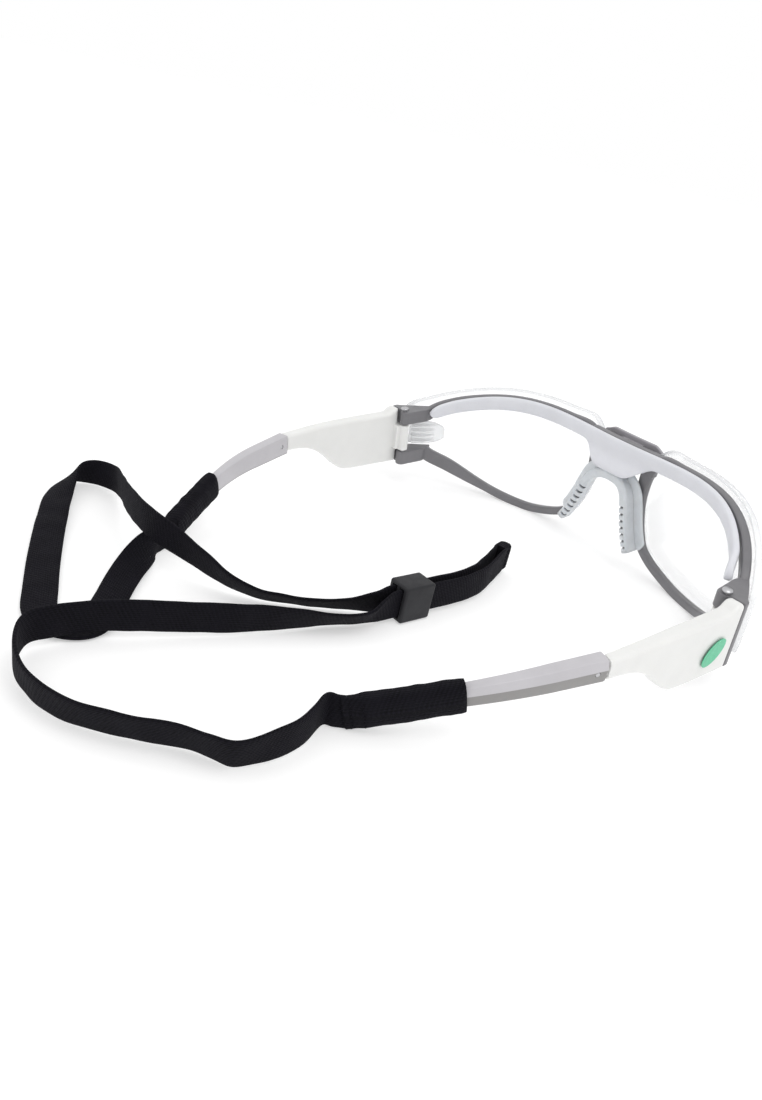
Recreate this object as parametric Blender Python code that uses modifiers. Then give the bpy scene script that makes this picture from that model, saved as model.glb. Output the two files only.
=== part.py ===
"""Sports protective goggles with folding, telescopic temples and a retaining strap.

Metres, +Z up. The wearer looks along -Y and the wearer's left is +X. The goggles are drawn level, in their
own frame, with the two hinge pins on the line Y = 0. An empty then leans them back so that they rest on the
lower rims and on the strap sleeves, as they do on a table. The strap lies on the table behind them.
"""

import math

import bmesh
import bpy
from mathutils import Matrix, Vector

SIDES = {"left": 1.0, "right": -1.0}

# How the goggles rest on the table.
REST_PITCH = math.radians(7.74)
REST_CENTRE_Y = 0.0350
REST_FLOOR_Z = 0.01190

# The wrap of the front: the inner face of the lenses, seen from above, is a flattened arch.
FRONT_Y = -0.0413
WRAP_DEPTH = 0.0366
HALF_WIDTH = 0.07065
WRAP_POWER = 3.48

# The rim round each eye.
BROW_BAR_HEIGHT = 0.0044
LOWER_RIM_HEIGHT = 0.0028
RIM_FRONT = 0.0002
RIM_BACK = 0.0028
RIM_POINTS = 60

# The end pieces and the hinges.
END_TOP_Z = 0.0406
END_BOTTOM_Z = 0.0203
KNUCKLE_TOP_Z = 0.0360
KNUCKLE_BOTTOM_Z = 0.0254
END_PLATE_INSIDE_X = 0.0714
END_PLATE_OUTSIDE_X = 0.0728
END_BACK_Y = 0.0006
PIN_X = 0.0660
PIN_MIDDLE_Z = 0.0305
PIN_RADIUS = 0.0008
PIN_CLEARANCE = 0.00006
PIN_HEAD_RADIUS = 0.0014
EAR_RADIUS = 0.0018
EAR_RELIEF = 0.0008
HINGE_CANT = math.radians(4.0)
GAP = 0.0003

# The lenses.
LENS_BACK = -0.0001
LENS_THICKNESS = 0.0018
LENS_POINTS = 64

# The temples.
MOUTH = Vector((0.0682, 0.0500, 0.0377))
TONGUE_LENGTH = 0.0135
TONGUE_WIDTH = 0.0020
TONGUE_HEIGHT = 0.0036
ARM_TURN = math.radians(16.0)
ARM_FALL = math.radians(2.0)
ARM_LENGTH = 0.0580
ARM_STRAIGHT = 0.0142
ARM_BORE_LENGTH = 0.0140
ARM_TRAVEL = 0.0080
STOP_PIN_FROM_FRONT = 0.0030
STOP_PIN_RADIUS = 0.0006
SLEEVE_FROM = 0.0347
SLEEVE_TO = 0.0617
SLEEVE_HEIGHT = 0.0088
SLEEVE_THICKNESS = 0.0050

# The strap and its slider.
STRAP_WIDTH = 0.0084
STRAP_THICKNESS = 0.0011
SLIDER_SIZE = Vector((0.0074, 0.0105, 0.0108))
SLIDER_CENTRE = Vector((-0.0104, 0.0620, 0.0056))
SLIDER_SLOT_OFFSET = 0.00145
SLIDER_SLOT_WIDTH = 0.0019


# ---------------------------------------------------------------- scene and materials

def clear_scene():
    for item in list(bpy.data.objects):
        bpy.data.objects.remove(item, do_unlink=True)


def new_collection(name):
    collection = bpy.data.collections.new(name)
    bpy.context.scene.collection.children.link(collection)
    return collection


def new_material(name, colour, roughness, metallic=0.0, transmission=0.0):
    material = bpy.data.materials.new(name)
    material.use_nodes = True
    shader = material.node_tree.nodes["Principled BSDF"]
    shader.inputs["Base Color"].default_value = (*colour, 1.0)
    shader.inputs["Roughness"].default_value = roughness
    shader.inputs["Metallic"].default_value = metallic
    shader.inputs["Transmission Weight"].default_value = transmission
    return material


clear_scene()
PARTS = new_collection("protective_goggles")
CUTTERS = new_collection("cutters")
MATERIALS = {
    "frame_grey": new_material("frame_grey", (0.14, 0.14, 0.15), 0.45),
    "cover_grey": new_material("cover_grey", (0.25, 0.25, 0.27), 0.40),
    "clear_lens": new_material("clear_lens", (0.95, 0.97, 1.0), 0.05, transmission=0.9),
    "brow_soft": new_material("brow_soft", (0.66, 0.67, 0.72), 0.60),
    "nose_soft": new_material("nose_soft", (0.55, 0.60, 0.65), 0.50),
    "housing_white": new_material("housing_white", (0.84, 0.84, 0.83), 0.35),
    "arm_grey": new_material("arm_grey", (0.36, 0.35, 0.36), 0.40),
    "pin_steel": new_material("pin_steel", (0.45, 0.45, 0.46), 0.30, metallic=1.0),
    "strap_black": new_material("strap_black", (0.010, 0.009, 0.012), 0.90),
    "slider_black": new_material("slider_black", (0.045, 0.045, 0.050), 0.50),
    "mark_green": new_material("mark_green", (0.12, 0.53, 0.30), 0.50),
}


def empty(name, location=(0, 0, 0), rotation=(0, 0, 0), parent=None):
    made = bpy.data.objects.new(name, None)
    made.empty_display_size = 0.01
    made.location = location
    made.rotation_euler = rotation
    made.parent = parent
    PARTS.objects.link(made)
    return made


GOGGLES = empty(
    "goggles_at_rest", (0, -REST_CENTRE_Y, -REST_FLOOR_Z), (-REST_PITCH, 0, 0)
)
TABLE = empty("strap_on_table", (0, -REST_CENTRE_Y, 0))


# ---------------------------------------------------------------- mesh helpers

def add_object(name, mesh, collection, parent=GOGGLES):
    made = bpy.data.objects.new(name, mesh)
    made.parent = parent
    collection.objects.link(made)
    return made


def mesh_of(name, bm):
    bmesh.ops.recalc_face_normals(bm, faces=bm.faces)
    mesh = bpy.data.meshes.new(name)
    bm.to_mesh(mesh)
    bm.free()
    return mesh


def loft(name, rings, closed=False):
    """A skin through equal rings of points: a tube with flat ends, or a ring when closed."""
    bm = bmesh.new()
    loops = [[bm.verts.new(point) for point in ring] for ring in rings]
    following = loops[1:] + loops[:1] if closed else loops[1:]
    for one, two in zip(loops, following):
        for k in range(len(one)):
            after = (k + 1) % len(one)
            bm.faces.new((one[k], one[after], two[after], two[k]))
    if not closed:
        bm.faces.new(loops[0])
        bm.faces.new(loops[-1])
    return mesh_of(name, bm)


def box_mesh(name, size, matrix):
    bm = bmesh.new()
    bmesh.ops.create_cube(bm, size=1.0, matrix=matrix @ Matrix.Diagonal((*size, 1.0)))
    return mesh_of(name, bm)


def box_between(name, low, high):
    low, high = Vector(low), Vector(high)
    return box_mesh(name, high - low, Matrix.Translation((low + high) / 2))


def cylinder_mesh(name, radius, length, matrix, segments=24):
    bm = bmesh.new()
    bmesh.ops.create_cone(
        bm, cap_ends=True, segments=segments, radius1=radius, radius2=radius, depth=length, matrix=matrix
    )
    return mesh_of(name, bm)


def prism(name, outline, low_z, high_z):
    return loft(name, [[Vector((x, y, z)) for x, y in outline] for z in (low_z, high_z)])


def mirrored(points, side):
    return [Vector((point[0] * side, point[1], point[2])) for point in points]


def mirrored_mesh(mesh, side):
    """The mesh as drawn for the wearer's left, turned into the right one where side is -1."""
    if side < 0:
        mesh.transform(Matrix.Diagonal((-1.0, 1.0, 1.0, 1.0)))
        mesh.flip_normals()
    return mesh


def helper(name, mesh):
    made = add_object(name, mesh, CUTTERS)
    made.hide_render = True
    made.display_type = "WIRE"
    return made


def combine(target, other, operation):
    modifier = target.modifiers.new(operation.lower() + "_" + other.name, "BOOLEAN")
    modifier.operation = operation
    modifier.solver = "EXACT"
    modifier.object = other


def stand_flat(made):
    """Takes off what would be below the table, which leaves a small flat foot to stand on."""
    below = helper("table_under_" + made.name, box_between("table", (-0.1, -0.1, -0.01), (0.1, 0.1, 0.0)))
    below.parent = None
    combine(made, below, "DIFFERENCE")


def finish(made, material, origin=None, smooth_angle=35.0):
    """Gives the object its material, and moves its origin to its joint's axis without moving its shape."""
    made.data.materials.clear()
    made.data.materials.append(MATERIALS[material])
    made.data.shade_smooth()
    made.data.set_sharp_from_angle(angle=math.radians(smooth_angle))
    if origin is not None:
        made.data.transform(Matrix.Translation(-origin))
        made.location = origin
    return made


def blended(low, high, value, start, end):
    """low before start, high after end, and a smooth step between."""
    t = min(max((value - start) / (end - start), 0.0), 1.0)
    return low + (high - low) * t * t * (3 - 2 * t)


def along(stations, value):
    """The value between listed (place, value) stations, in straight steps."""
    for (a, one), (b, two) in zip(stations, stations[1:]):
        if value <= b:
            return one + (two - one) * max(value - a, 0.0) / (b - a)
    return stations[-1][1]


def catmull_rom(points, steps, closed=False):
    """A smooth curve through the points, as lists of numbers of any length."""
    count = len(points)
    spans = count if closed else count - 1
    made = []
    for i in range(spans):
        if closed:
            four = [points[(i + k - 1) % count] for k in range(4)]
        else:
            four = [points[min(max(i + k - 1, 0), count - 1)] for k in range(4)]
        for step in range(steps):
            t = step / steps
            made.append([
                0.5 * (2 * b + (c - a) * t + (2 * a - 5 * b + 4 * c - d) * t * t + (3 * b - a - 3 * c + d) * t ** 3)
                for a, b, c, d in zip(*four)
            ])
    if not closed:
        made.append(list(points[-1]))
    return made


def evenly(points, count, closed=False):
    """The same line, as count points at equal distances."""
    line = [Vector(point) for point in points] + ([Vector(points[0])] if closed else [])
    reach = [0.0]
    for one, two in zip(line, line[1:]):
        reach.append(reach[-1] + (two - one).length)
    steps = count if closed else count - 1
    made, k = [], 0
    for i in range(count):
        wanted = reach[-1] * i / steps
        while k < len(reach) - 2 and reach[k + 1] < wanted:
            k += 1
        made.append(line[k].lerp(line[k + 1], (wanted - reach[k]) / (reach[k + 1] - reach[k])))
    return made


def rounded_rectangle(width, height, corner):
    """Eight points of a rectangle with cut corners, centred on (0, 0)."""
    a, b = width / 2, height / 2
    return [
        (a, -b + corner), (a, b - corner), (a - corner, b), (-a + corner, b),
        (-a, b - corner), (-a, -b + corner), (-a + corner, -b), (a - corner, -b),
    ]


# ---------------------------------------------------------------- the front's shape

def wrap_y(x):
    return FRONT_Y + WRAP_DEPTH * (abs(x) / HALF_WIDTH) ** WRAP_POWER


def backward(x):
    """The level direction out of the inside of the front at x, towards the wearer."""
    slope = WRAP_DEPTH * WRAP_POWER / HALF_WIDTH * (abs(x) / HALF_WIDTH) ** (WRAP_POWER - 1)
    return Vector((-math.copysign(slope, x), 1.0, 0.0)).normalized()


def face_point(x, z, depth):
    """A point at (x, z) on the lens's inner face, moved by depth towards the wearer."""
    return Vector((x, wrap_y(x), z)) + backward(x) * depth


def brow_z(x):
    """The top edge of the brow bar."""
    return 0.0486 + 1.6 * x ** 2 - 700.0 * x ** 4


def lower_z(x):
    """The top edge of the lower rim."""
    away = abs(x) - 0.040
    return 0.00995 + 0.12 * away + 16.3 * away ** 2


def rim_outline():
    """The middle line of the left rim as (x, 0, z) points, anticlockwise as the wearer sees it."""
    top = [(x, brow_z(x) - BROW_BAR_HEIGHT / 2) for x in (0.015, 0.024, 0.034, 0.044, 0.053, 0.061)]
    outer = [(0.0663, 0.0386), (0.0686, 0.0310), (0.0668, 0.0232)]
    bottom = [(x, lower_z(x) - LOWER_RIM_HEIGHT / 2) for x in (0.061, 0.053, 0.044, 0.034, 0.024)]
    nose = [(0.0170, 0.0148), (0.0140, 0.0198), (0.0118, 0.0268), (0.0106, 0.0350), (0.0112, 0.0420)]
    corners = [(x, 0.0, z) for x, z in top + outer + bottom + nose]
    return evenly(catmull_rom(corners, 8, closed=True), RIM_POINTS, closed=True)


def rim_frames():
    """For each point of the rim: where it is, and the directions out of the eye and towards the wearer."""
    flat = rim_outline()
    places = [face_point(point.x, point.z, 0.0) for point in flat]
    middle = sum(places, Vector()) / len(places)
    frames = []
    for i, place in enumerate(places):
        tangent = (places[(i + 1) % len(places)] - places[i - 1]).normalized()
        back = backward(place.x)
        outward = tangent.cross(back).normalized()
        if outward.dot(place - middle) < 0:
            outward = -outward
        frames.append((place, outward, back))
    return frames


def rim_height(place):
    """The rim is tall along the brow, low under the eye, and widens again into the end piece."""
    gusset = blended(0.0, 0.0020, place.x, 0.048, 0.063) * blended(1.0, 0.0, place.z, 0.022, 0.030)
    return blended(LOWER_RIM_HEIGHT, BROW_BAR_HEIGHT, place.z, 0.028, 0.042) + gusset


def rim_mesh(side):
    depth = RIM_BACK - RIM_FRONT
    rings = []
    for place, outward, back in rim_frames():
        section = rounded_rectangle(rim_height(place), depth, 0.0005)
        middle = place + back * (RIM_FRONT + depth / 2)
        rings.append([middle + outward * a + back * b for a, b in section])
    return mirrored_mesh(loft("rim", rings, closed=True), side)


def bar_across(name, half_length, steps, low_z, high_z, front, back):
    """A bar along the front, between two heights that depend on x."""
    rings = []
    for i in range(steps + 1):
        x = -half_length + 2 * half_length * i / steps
        low, high = low_z(x), high_z(x)
        section = rounded_rectangle(high - low, back - front, 0.0004)
        middle = face_point(x, (low + high) / 2, (front + back) / 2)
        rings.append([middle + Vector((0, 0, a)) + backward(x) * b for a, b in section])
    return loft(name, rings)


def bridge_low_z(x):
    """The bridge's lower edge, arched over the nose."""
    return 0.0418 - 6.0 * x ** 2


# ---------------------------------------------------------------- the front's pieces

def end_block_outline():
    """The end piece from above: its front follows the wrap, and its back is square with an ear for the pin."""
    front = [face_point(x, 0.0, RIM_FRONT).xy for x in (0.0655, 0.0675, 0.0692, 0.0706, 0.0718)]
    outside = [(END_PLATE_OUTSIDE_X, -0.0012), (END_PLATE_OUTSIDE_X, END_BACK_Y), (0.0684, END_BACK_Y)]
    ear = [
        (PIN_X + EAR_RADIUS * math.cos(angle), EAR_RADIUS * math.sin(angle))
        for angle in (math.radians(20 + 20 * step) for step in range(9))
    ]
    return front + outside + ear + [(0.0636, -0.0085)]


def pin_matrix(side, from_z, to_z):
    """The pin's axis leans outward at its top by the hinge's cant."""
    lean = Matrix.Rotation(HINGE_CANT * side, 4, "Y")
    middle = Matrix.Translation((PIN_X * side, 0.0, PIN_MIDDLE_Z))
    return middle @ lean @ Matrix.Translation((0, 0, (from_z + to_z) / 2 - PIN_MIDDLE_Z))


def make_frame_front():
    frame = add_object("frame_front", rim_mesh(1.0), PARTS)
    combine(frame, helper("other_rim", rim_mesh(-1.0)), "UNION")
    bridge = bar_across(
        "bridge", 0.0135, 10, bridge_low_z, lambda x: brow_z(x) - 0.0001, RIM_FRONT + 0.0001, RIM_BACK + 0.0002
    )
    combine(frame, helper("bridge", bridge), "UNION")
    for name, side in SIDES.items():
        block = prism("block", end_block_outline(), END_BOTTOM_Z, END_TOP_Z)
        combine(frame, helper("end_block_" + name, mirrored_mesh(block, side)), "UNION")
    for name, side in SIDES.items():
        pocket = box_between(
            "pocket", (0.050, -0.040, KNUCKLE_BOTTOM_Z), (END_PLATE_INSIDE_X, 0.010, KNUCKLE_TOP_Z)
        )
        combine(frame, helper("knuckle_pocket_" + name, mirrored_mesh(pocket, side)), "DIFFERENCE")
        bore = cylinder_mesh("bore", PIN_RADIUS + PIN_CLEARANCE, 0.030, pin_matrix(side, 0.0155, 0.0455))
        combine(frame, helper("pin_bore_" + name, bore), "DIFFERENCE")
    stand_flat(frame)
    finish(frame, "frame_grey")


def make_bridge_cover():
    """A plate over the front of the bridge, with a post that fills the space between the two lenses."""
    top = lambda x: brow_z(x) + blended(0.0006, -0.0010, abs(x), 0.008, 0.012)
    cover = add_object(
        "bridge_cover",
        bar_across("cover", 0.0120, 12, lambda x: 0.0415, top, -0.0034, -0.0022),
        PARTS,
    )
    post = bar_across(
        "post", 0.0042, 4, lambda x: 0.0425, lambda x: brow_z(x) - 0.001, -0.0030, LENS_BACK
    )
    combine(cover, helper("cover_post", post), "UNION")
    finish(cover, "cover_grey")


def lens_outline():
    """The left lens's edge: above the brow bar, round the end piece, and just past the lower rim and the nose."""
    top = [(x, brow_z(x) + 0.0018) for x in (0.0150, 0.0240, 0.0340, 0.0440, 0.0530, 0.0610, 0.0665)]
    outer = [(0.0701, 0.0412), (0.0712, 0.0375), (0.0713, 0.0310), (0.0710, 0.0245), (0.0694, 0.0207)]
    bottom = [(x, lower_z(x) - 0.0026) for x in (0.0645, 0.0590, 0.0520, 0.0440, 0.0340, 0.0240)]
    nose = [(0.0162, 0.0140), (0.0132, 0.0193), (0.0110, 0.0264), (0.0098, 0.0350), (0.0100, 0.0440)]
    corners = [(x, 0.0, z) for x, z in top + outer + bottom + nose]
    return evenly(catmull_rom(corners, 8, closed=True), LENS_POINTS, closed=True)


def make_lenses():
    edge = lens_outline()
    middle = sum(edge, Vector()) / len(edge)
    shares = (1.0, 0.94, 0.80, 0.60, 0.34)
    for name, side in SIDES.items():
        bm = bmesh.new()
        faces = []
        for depth in (LENS_BACK, LENS_BACK - LENS_THICKNESS):
            rings = []
            for share in shares:
                ring = [middle.lerp(point, share) for point in edge]
                rings.append([bm.verts.new(face_point(point.x, point.z, depth)) for point in ring])
            faces.append((rings, bm.verts.new(face_point(middle.x, middle.z, depth))))
        count = len(edge)
        for rings, centre in faces:
            for one, two in zip(rings, rings[1:]):
                for k in range(count):
                    after = (k + 1) % count
                    bm.faces.new((one[k], one[after], two[after], two[k]))
            for k in range(count):
                bm.faces.new((rings[-1][k], rings[-1][(k + 1) % count], centre))
        for k in range(count):
            after = (k + 1) % count
            inner, outer = faces[0][0][0], faces[1][0][0]
            bm.faces.new((inner[k], inner[after], outer[after], outer[k]))
        mesh = mirrored_mesh(mesh_of("lens", bm), side)
        finish(add_object("lens_" + name, mesh, PARTS), "clear_lens")


def pad_low(x):
    """The pad's lower edge, which runs down to the nose piece in a Y."""
    return brow_z(x) - 0.0045 - blended(0.0051, 0.0, abs(x), 0.0045, 0.0155)


def pad_shift(x, z):
    """How much further back the pad stands: over the end piece, and where its stem leans to the saddle."""
    over_end = blended(0.0, 0.0012, abs(x), 0.0610, 0.0665)
    return over_end + blended(0.0, 0.0032, brow_z(x) - 0.0045 - z, 0.0, 0.0051)


def make_brow_pad():
    """A soft strip behind the brow bar, deeper over the nose, with round ends."""
    half_length = 0.0668
    steps = 60
    rings = []
    for i in range(steps + 1):
        x = -half_length + 2 * half_length * i / steps
        left = (half_length - abs(x)) / 0.0024
        roundness = math.sqrt(max(1.0 - max(1.0 - left, 0.0) ** 2, 0.08))
        low, high = pad_low(x), brow_z(x) + 0.0003
        middle = (low + high) / 2
        section = rounded_rectangle((high - low) * roundness, 0.0023, 0.0004)
        ring = []
        for a, b in section:
            depth = RIM_BACK + 0.0005 + 0.00115 + b + pad_shift(x, middle + a)
            ring.append(face_point(x, middle + a, depth))
        rings.append(ring)
    finish(add_object("brow_pad", loft("brow_pad", rings), PARTS), "brow_soft")


def make_nose_piece():
    """A soft saddle over the nose with a leg down each side, behind the rims."""
    half = [(0.0, 0.0368), (0.0040, 0.0362), (0.0074, 0.0335), (0.0092, 0.0290), (0.0108, 0.0240),
            (0.0128, 0.0190), (0.0150, 0.0148)]
    corners = [(-x, 0.0, z) for x, z in reversed(half)] + [(x, 0.0, z) for x, z in half[1:]]
    line = evenly(catmull_rom(corners, 6), 37)
    rings = []
    for i, point in enumerate(line):
        before, after = line[max(i - 1, 0)], line[min(i + 1, len(line) - 1)]
        tangent = (after - before).normalized()
        outward = Vector((0, 1, 0)).cross(tangent)
        leg = blended(0.0, 1.0, abs(point.x), 0.004, 0.011)
        front = RIM_BACK + 0.0006
        depth = 0.0042 + 0.0016 * leg
        section = rounded_rectangle(0.0034 - 0.0006 * leg, depth, 0.0007)
        middle = face_point(point.x, point.z, front + depth / 2)
        back = backward(point.x)
        rings.append([middle + outward * a + back * b for a, b in section])
    finish(add_object("nose_piece", loft("nose_piece", rings), PARTS), "nose_soft")


def make_lens_clips():
    """Between the two halves of each end piece, a clear clip with four fingers that holds the lens's corner."""
    for name, side in SIDES.items():
        rings = []
        for x in (0.0628, 0.0634, 0.0645, 0.0658, 0.0672, 0.0686, 0.0700):
            half = 0.0042 * math.sqrt(1.0 - (max(0.0668 - x, 0.0) / 0.0044) ** 2)
            section = rounded_rectangle(2 * half, 0.0014, 0.0003)
            middle = face_point(x, 0.0307, 0.0011)
            rings.append([middle + Vector((0, 0, a)) + backward(x) * b for a, b in section])
        clip = add_object("lens_clip_" + name, mirrored_mesh(loft("clip", rings), side), PARTS)
        for finger in range(4):
            z = 0.0277 + 0.0020 * finger
            rings = []
            for x, reach in ((0.0650, 0.0020), (0.0660, 0.0032), (0.0675, 0.0040), (0.0697, 0.0040)):
                section = rounded_rectangle(0.0009, reach - 0.0008, 0.0002)
                middle = face_point(x, z, (reach + 0.0012) / 2)
                rings.append([middle + Vector((0, 0, a)) + backward(x) * b for a, b in section])
            bar = mirrored_mesh(loft("finger", rings), side)
            combine(clip, helper("clip_finger_%s_%d" % (name, finger), bar), "UNION")
        finish(clip, "clear_lens")


def make_hinge_pins():
    for name, side in SIDES.items():
        shank = cylinder_mesh("pin", PIN_RADIUS, 0.0206, pin_matrix(side, 0.0206, 0.0412))
        pin = add_object("hinge_pin_" + name, shank, PARTS)
        head = cylinder_mesh("head", PIN_HEAD_RADIUS, 0.0007, pin_matrix(side, 0.0410, 0.0417))
        combine(pin, helper("pin_head_" + name, head), "UNION")
        finish(pin, "pin_steel", hinge_point(side))


# ---------------------------------------------------------------- the temples

def hinge_point(side):
    return Vector((PIN_X * side, 0.0, PIN_MIDDLE_Z))


def housing_mesh():
    """The white housing, lofted from its front to the mouth that holds the arm."""
    top = [(0.0012, 0.0408), (0.0030, 0.0408), (0.0052, 0.0396), (0.0080, 0.0395), (0.0200, 0.0401),
           (0.0350, 0.0406), (0.0500, 0.0405)]
    bottom = [(0.0012, 0.0203), (0.0100, 0.0209), (0.0180, 0.0214), (0.0250, 0.0224), (0.0290, 0.0250),
              (0.0325, 0.0283), (0.0360, 0.0312), (0.0400, 0.0333), (0.0450, 0.0345), (0.0500, 0.0349)]
    inside = [(0.0012, 0.0682), (0.0100, 0.0682), (0.0250, 0.0679), (0.0350, 0.0676), (0.0450, 0.0669),
              (0.0500, 0.0664)]
    outside = [(0.0012, 0.0730), (0.0100, 0.0728), (0.0250, 0.0722), (0.0350, 0.0716), (0.0450, 0.0706),
               (0.0500, 0.0700)]
    rings = []
    for y in (0.0012, 0.0030, 0.0052, 0.0080, 0.0120, 0.0160, 0.0200, 0.0230, 0.0250, 0.0270, 0.0290,
              0.0308, 0.0325, 0.0342, 0.0360, 0.0380, 0.0400, 0.0425, 0.0450, 0.0475, 0.0500):
        low, high, near, far = (along(stations, y) for stations in (bottom, top, inside, outside))
        section = rounded_rectangle(far - near, high - low, 0.0009)
        ring = [Vector(((near + far) / 2 + a, y, (low + high) / 2 + b)) for a, b in section]
        square_to_arm = blended(0.0, 1.0, y, 0.036, 0.0475)
        for point in ring:
            away = point - MOUTH
            point.y += square_to_arm * (away.x * math.tan(ARM_TURN) + away.z * math.tan(ARM_FALL))
        rings.append(ring)
    return loft("housing", rings)


def arm_headings(reach):
    """The arm's inward turn and its fall at a distance from its front: straight first, then curving."""
    turn = ARM_TURN + math.radians(13.3) * max(reach - ARM_STRAIGHT, 0.0) / 0.0208
    if reach > SLEEVE_FROM:
        turn = math.radians(29.3 + 3.5 * (reach - SLEEVE_FROM) / 0.027)
    fall = ARM_FALL + math.radians(7.0) * min(max(reach - ARM_STRAIGHT, 0.0) / 0.0208, 1.2)
    return turn, fall


def arm_direction(reach):
    turn, fall = arm_headings(reach)
    return Vector((-math.sin(turn) * math.cos(fall), math.cos(turn) * math.cos(fall), -math.sin(fall)))


def arm_axes(reach):
    """The directions along the arm, out of its side and up, at a distance from its front."""
    forward = arm_direction(reach)
    sideways = forward.cross(Vector((0, 0, 1))).normalized()
    return forward, sideways, sideways.cross(forward)


def arm_point(reach):
    """A point on the left arm's middle line."""
    place = MOUTH + arm_direction(0.0) * GAP
    step = 0.0005
    walked = 0.0
    while walked + step <= reach:
        place = place + arm_direction(walked + step / 2) * step
        walked += step
    return place + arm_direction(reach) * (reach - walked)


def arm_matrix(reach):
    """Local X out of the arm's side, Y along it and Z up."""
    forward, sideways, up = arm_axes(reach)
    matrix = Matrix((sideways, forward, up)).transposed().to_4x4()
    return Matrix.Translation(arm_point(reach)) @ matrix


def arm_rings(reaches, width_at, height_at, corner):
    rings = []
    for reach in reaches:
        forward, sideways, up = arm_axes(reach)
        section = rounded_rectangle(width_at(reach), height_at(reach), corner)
        rings.append([arm_point(reach) + sideways * a + up * b for a, b in section])
    return rings


def arm_width(reach):
    return along([(0.0, 0.0044), (0.0142, 0.0042), (0.0350, 0.0031), (0.0580, 0.0026)], reach)


def arm_height(reach):
    return along([(0.0, 0.0064), (0.0142, 0.0061), (0.0350, 0.0052), (0.0580, 0.0042)], reach)


def make_temple_housings():
    for name, side in SIDES.items():
        pivot = hinge_point(side)
        housing = add_object("temple_housing_" + name, mirrored_mesh(housing_mesh(), side), PARTS)
        relief = cylinder_mesh("relief", EAR_RADIUS + EAR_RELIEF, 0.0070, pin_matrix(side, 0.0355, 0.0425))
        combine(housing, helper("ear_relief_" + name, relief), "DIFFERENCE")
        barrel = cylinder_mesh("barrel", EAR_RADIUS, KNUCKLE_TOP_Z - KNUCKLE_BOTTOM_Z - 0.0012,
                               pin_matrix(side, KNUCKLE_BOTTOM_Z + 0.0006, KNUCKLE_TOP_Z - 0.0006))
        combine(housing, helper("knuckle_" + name, barrel), "UNION")
        web = box_between("web", (0.0662, 0.0, KNUCKLE_BOTTOM_Z + 0.0008), (0.0700, 0.0030, KNUCKLE_TOP_Z - 0.0008))
        combine(housing, helper("knuckle_web_" + name, mirrored_mesh(web, side)), "UNION")
        bore = cylinder_mesh("bore", PIN_RADIUS + PIN_CLEARANCE, 0.030, pin_matrix(side, 0.0155, 0.0455))
        combine(housing, helper("knuckle_bore_" + name, bore), "DIFFERENCE")
        start = arm_matrix(0.0)
        inside_housing = 0.003
        tongue = box_mesh(
            "tongue", (TONGUE_WIDTH, TONGUE_LENGTH + inside_housing, TONGUE_HEIGHT),
            start @ Matrix.Translation((0, (TONGUE_LENGTH - inside_housing) / 2, 0)),
        )
        combine(housing, helper("tongue_" + name, mirrored_mesh(tongue, side)), "UNION")
        slot_from = STOP_PIN_FROM_FRONT - STOP_PIN_RADIUS - GAP
        slot_to = STOP_PIN_FROM_FRONT + ARM_TRAVEL + STOP_PIN_RADIUS + GAP
        slot = box_mesh(
            "slot", (0.006, slot_to - slot_from, 2 * (STOP_PIN_RADIUS + GAP)),
            start @ Matrix.Translation((0, (slot_from + slot_to) / 2, 0)),
        )
        combine(housing, helper("stop_slot_" + name, mirrored_mesh(slot, side)), "DIFFERENCE")
        finish(housing, "housing_white", pivot)


def make_temple_arms():
    reaches = [0.0, 0.005, 0.010, 0.0142] + [0.0142 + 0.0438 * k / 14 for k in range(1, 15)]
    for name, side in SIDES.items():
        rings = arm_rings(reaches, arm_width, arm_height, 0.0009)
        arm = add_object("temple_arm_" + name, mirrored_mesh(loft("arm", rings), side), PARTS)
        start = arm_matrix(0.0)
        bore = box_mesh(
            "bore", (TONGUE_WIDTH + 2 * GAP, ARM_BORE_LENGTH + 0.004, TONGUE_HEIGHT + 2 * GAP),
            start @ Matrix.Translation((0, ARM_BORE_LENGTH / 2 - 0.002, 0)),
        )
        combine(arm, helper("arm_bore_" + name, mirrored_mesh(bore, side)), "DIFFERENCE")
        across = start @ Matrix.Translation((0, STOP_PIN_FROM_FRONT, 0)) @ Matrix.Rotation(math.pi / 2, 4, "Y")
        hole = cylinder_mesh("hole", STOP_PIN_RADIUS + PIN_CLEARANCE, 0.010, across, 16)
        combine(arm, helper("stop_hole_" + name, mirrored_mesh(hole, side)), "DIFFERENCE")
        pivot = mirrored([MOUTH], side)[0]
        finish(arm, "arm_grey", pivot)
        pin = mirrored_mesh(cylinder_mesh("stop", STOP_PIN_RADIUS, 0.0041, across, 16), side)
        finish(add_object("stop_pin_" + name, pin, PARTS), "pin_steel", pivot)


def make_strap_sleeves():
    """A flattened fabric tube over each arm's tip, closed at its tail."""
    span = SLEEVE_TO - SLEEVE_FROM
    reaches = [SLEEVE_FROM + span * k / 10 for k in range(11)]
    inner = [SLEEVE_FROM - 0.002] + [SLEEVE_FROM + (ARM_LENGTH + 0.0006 - SLEEVE_FROM) * k / 9 for k in range(10)]
    for name, side in SIDES.items():
        rings = arm_rings(reaches, lambda s: SLEEVE_THICKNESS, lambda s: SLEEVE_HEIGHT, 0.0012)
        sleeve = add_object("strap_sleeve_" + name, mirrored_mesh(loft("sleeve", rings), side), PARTS)
        rings = arm_rings(inner, lambda s: arm_width(s) + 2 * GAP, lambda s: arm_height(s) + 2 * GAP, 0.0006)
        bore = mirrored_mesh(loft("bore", rings), side)
        combine(sleeve, helper("sleeve_bore_" + name, bore), "DIFFERENCE")
        stand_flat(sleeve)
        finish(sleeve, "strap_black", mirrored([MOUTH], side)[0])


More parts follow.
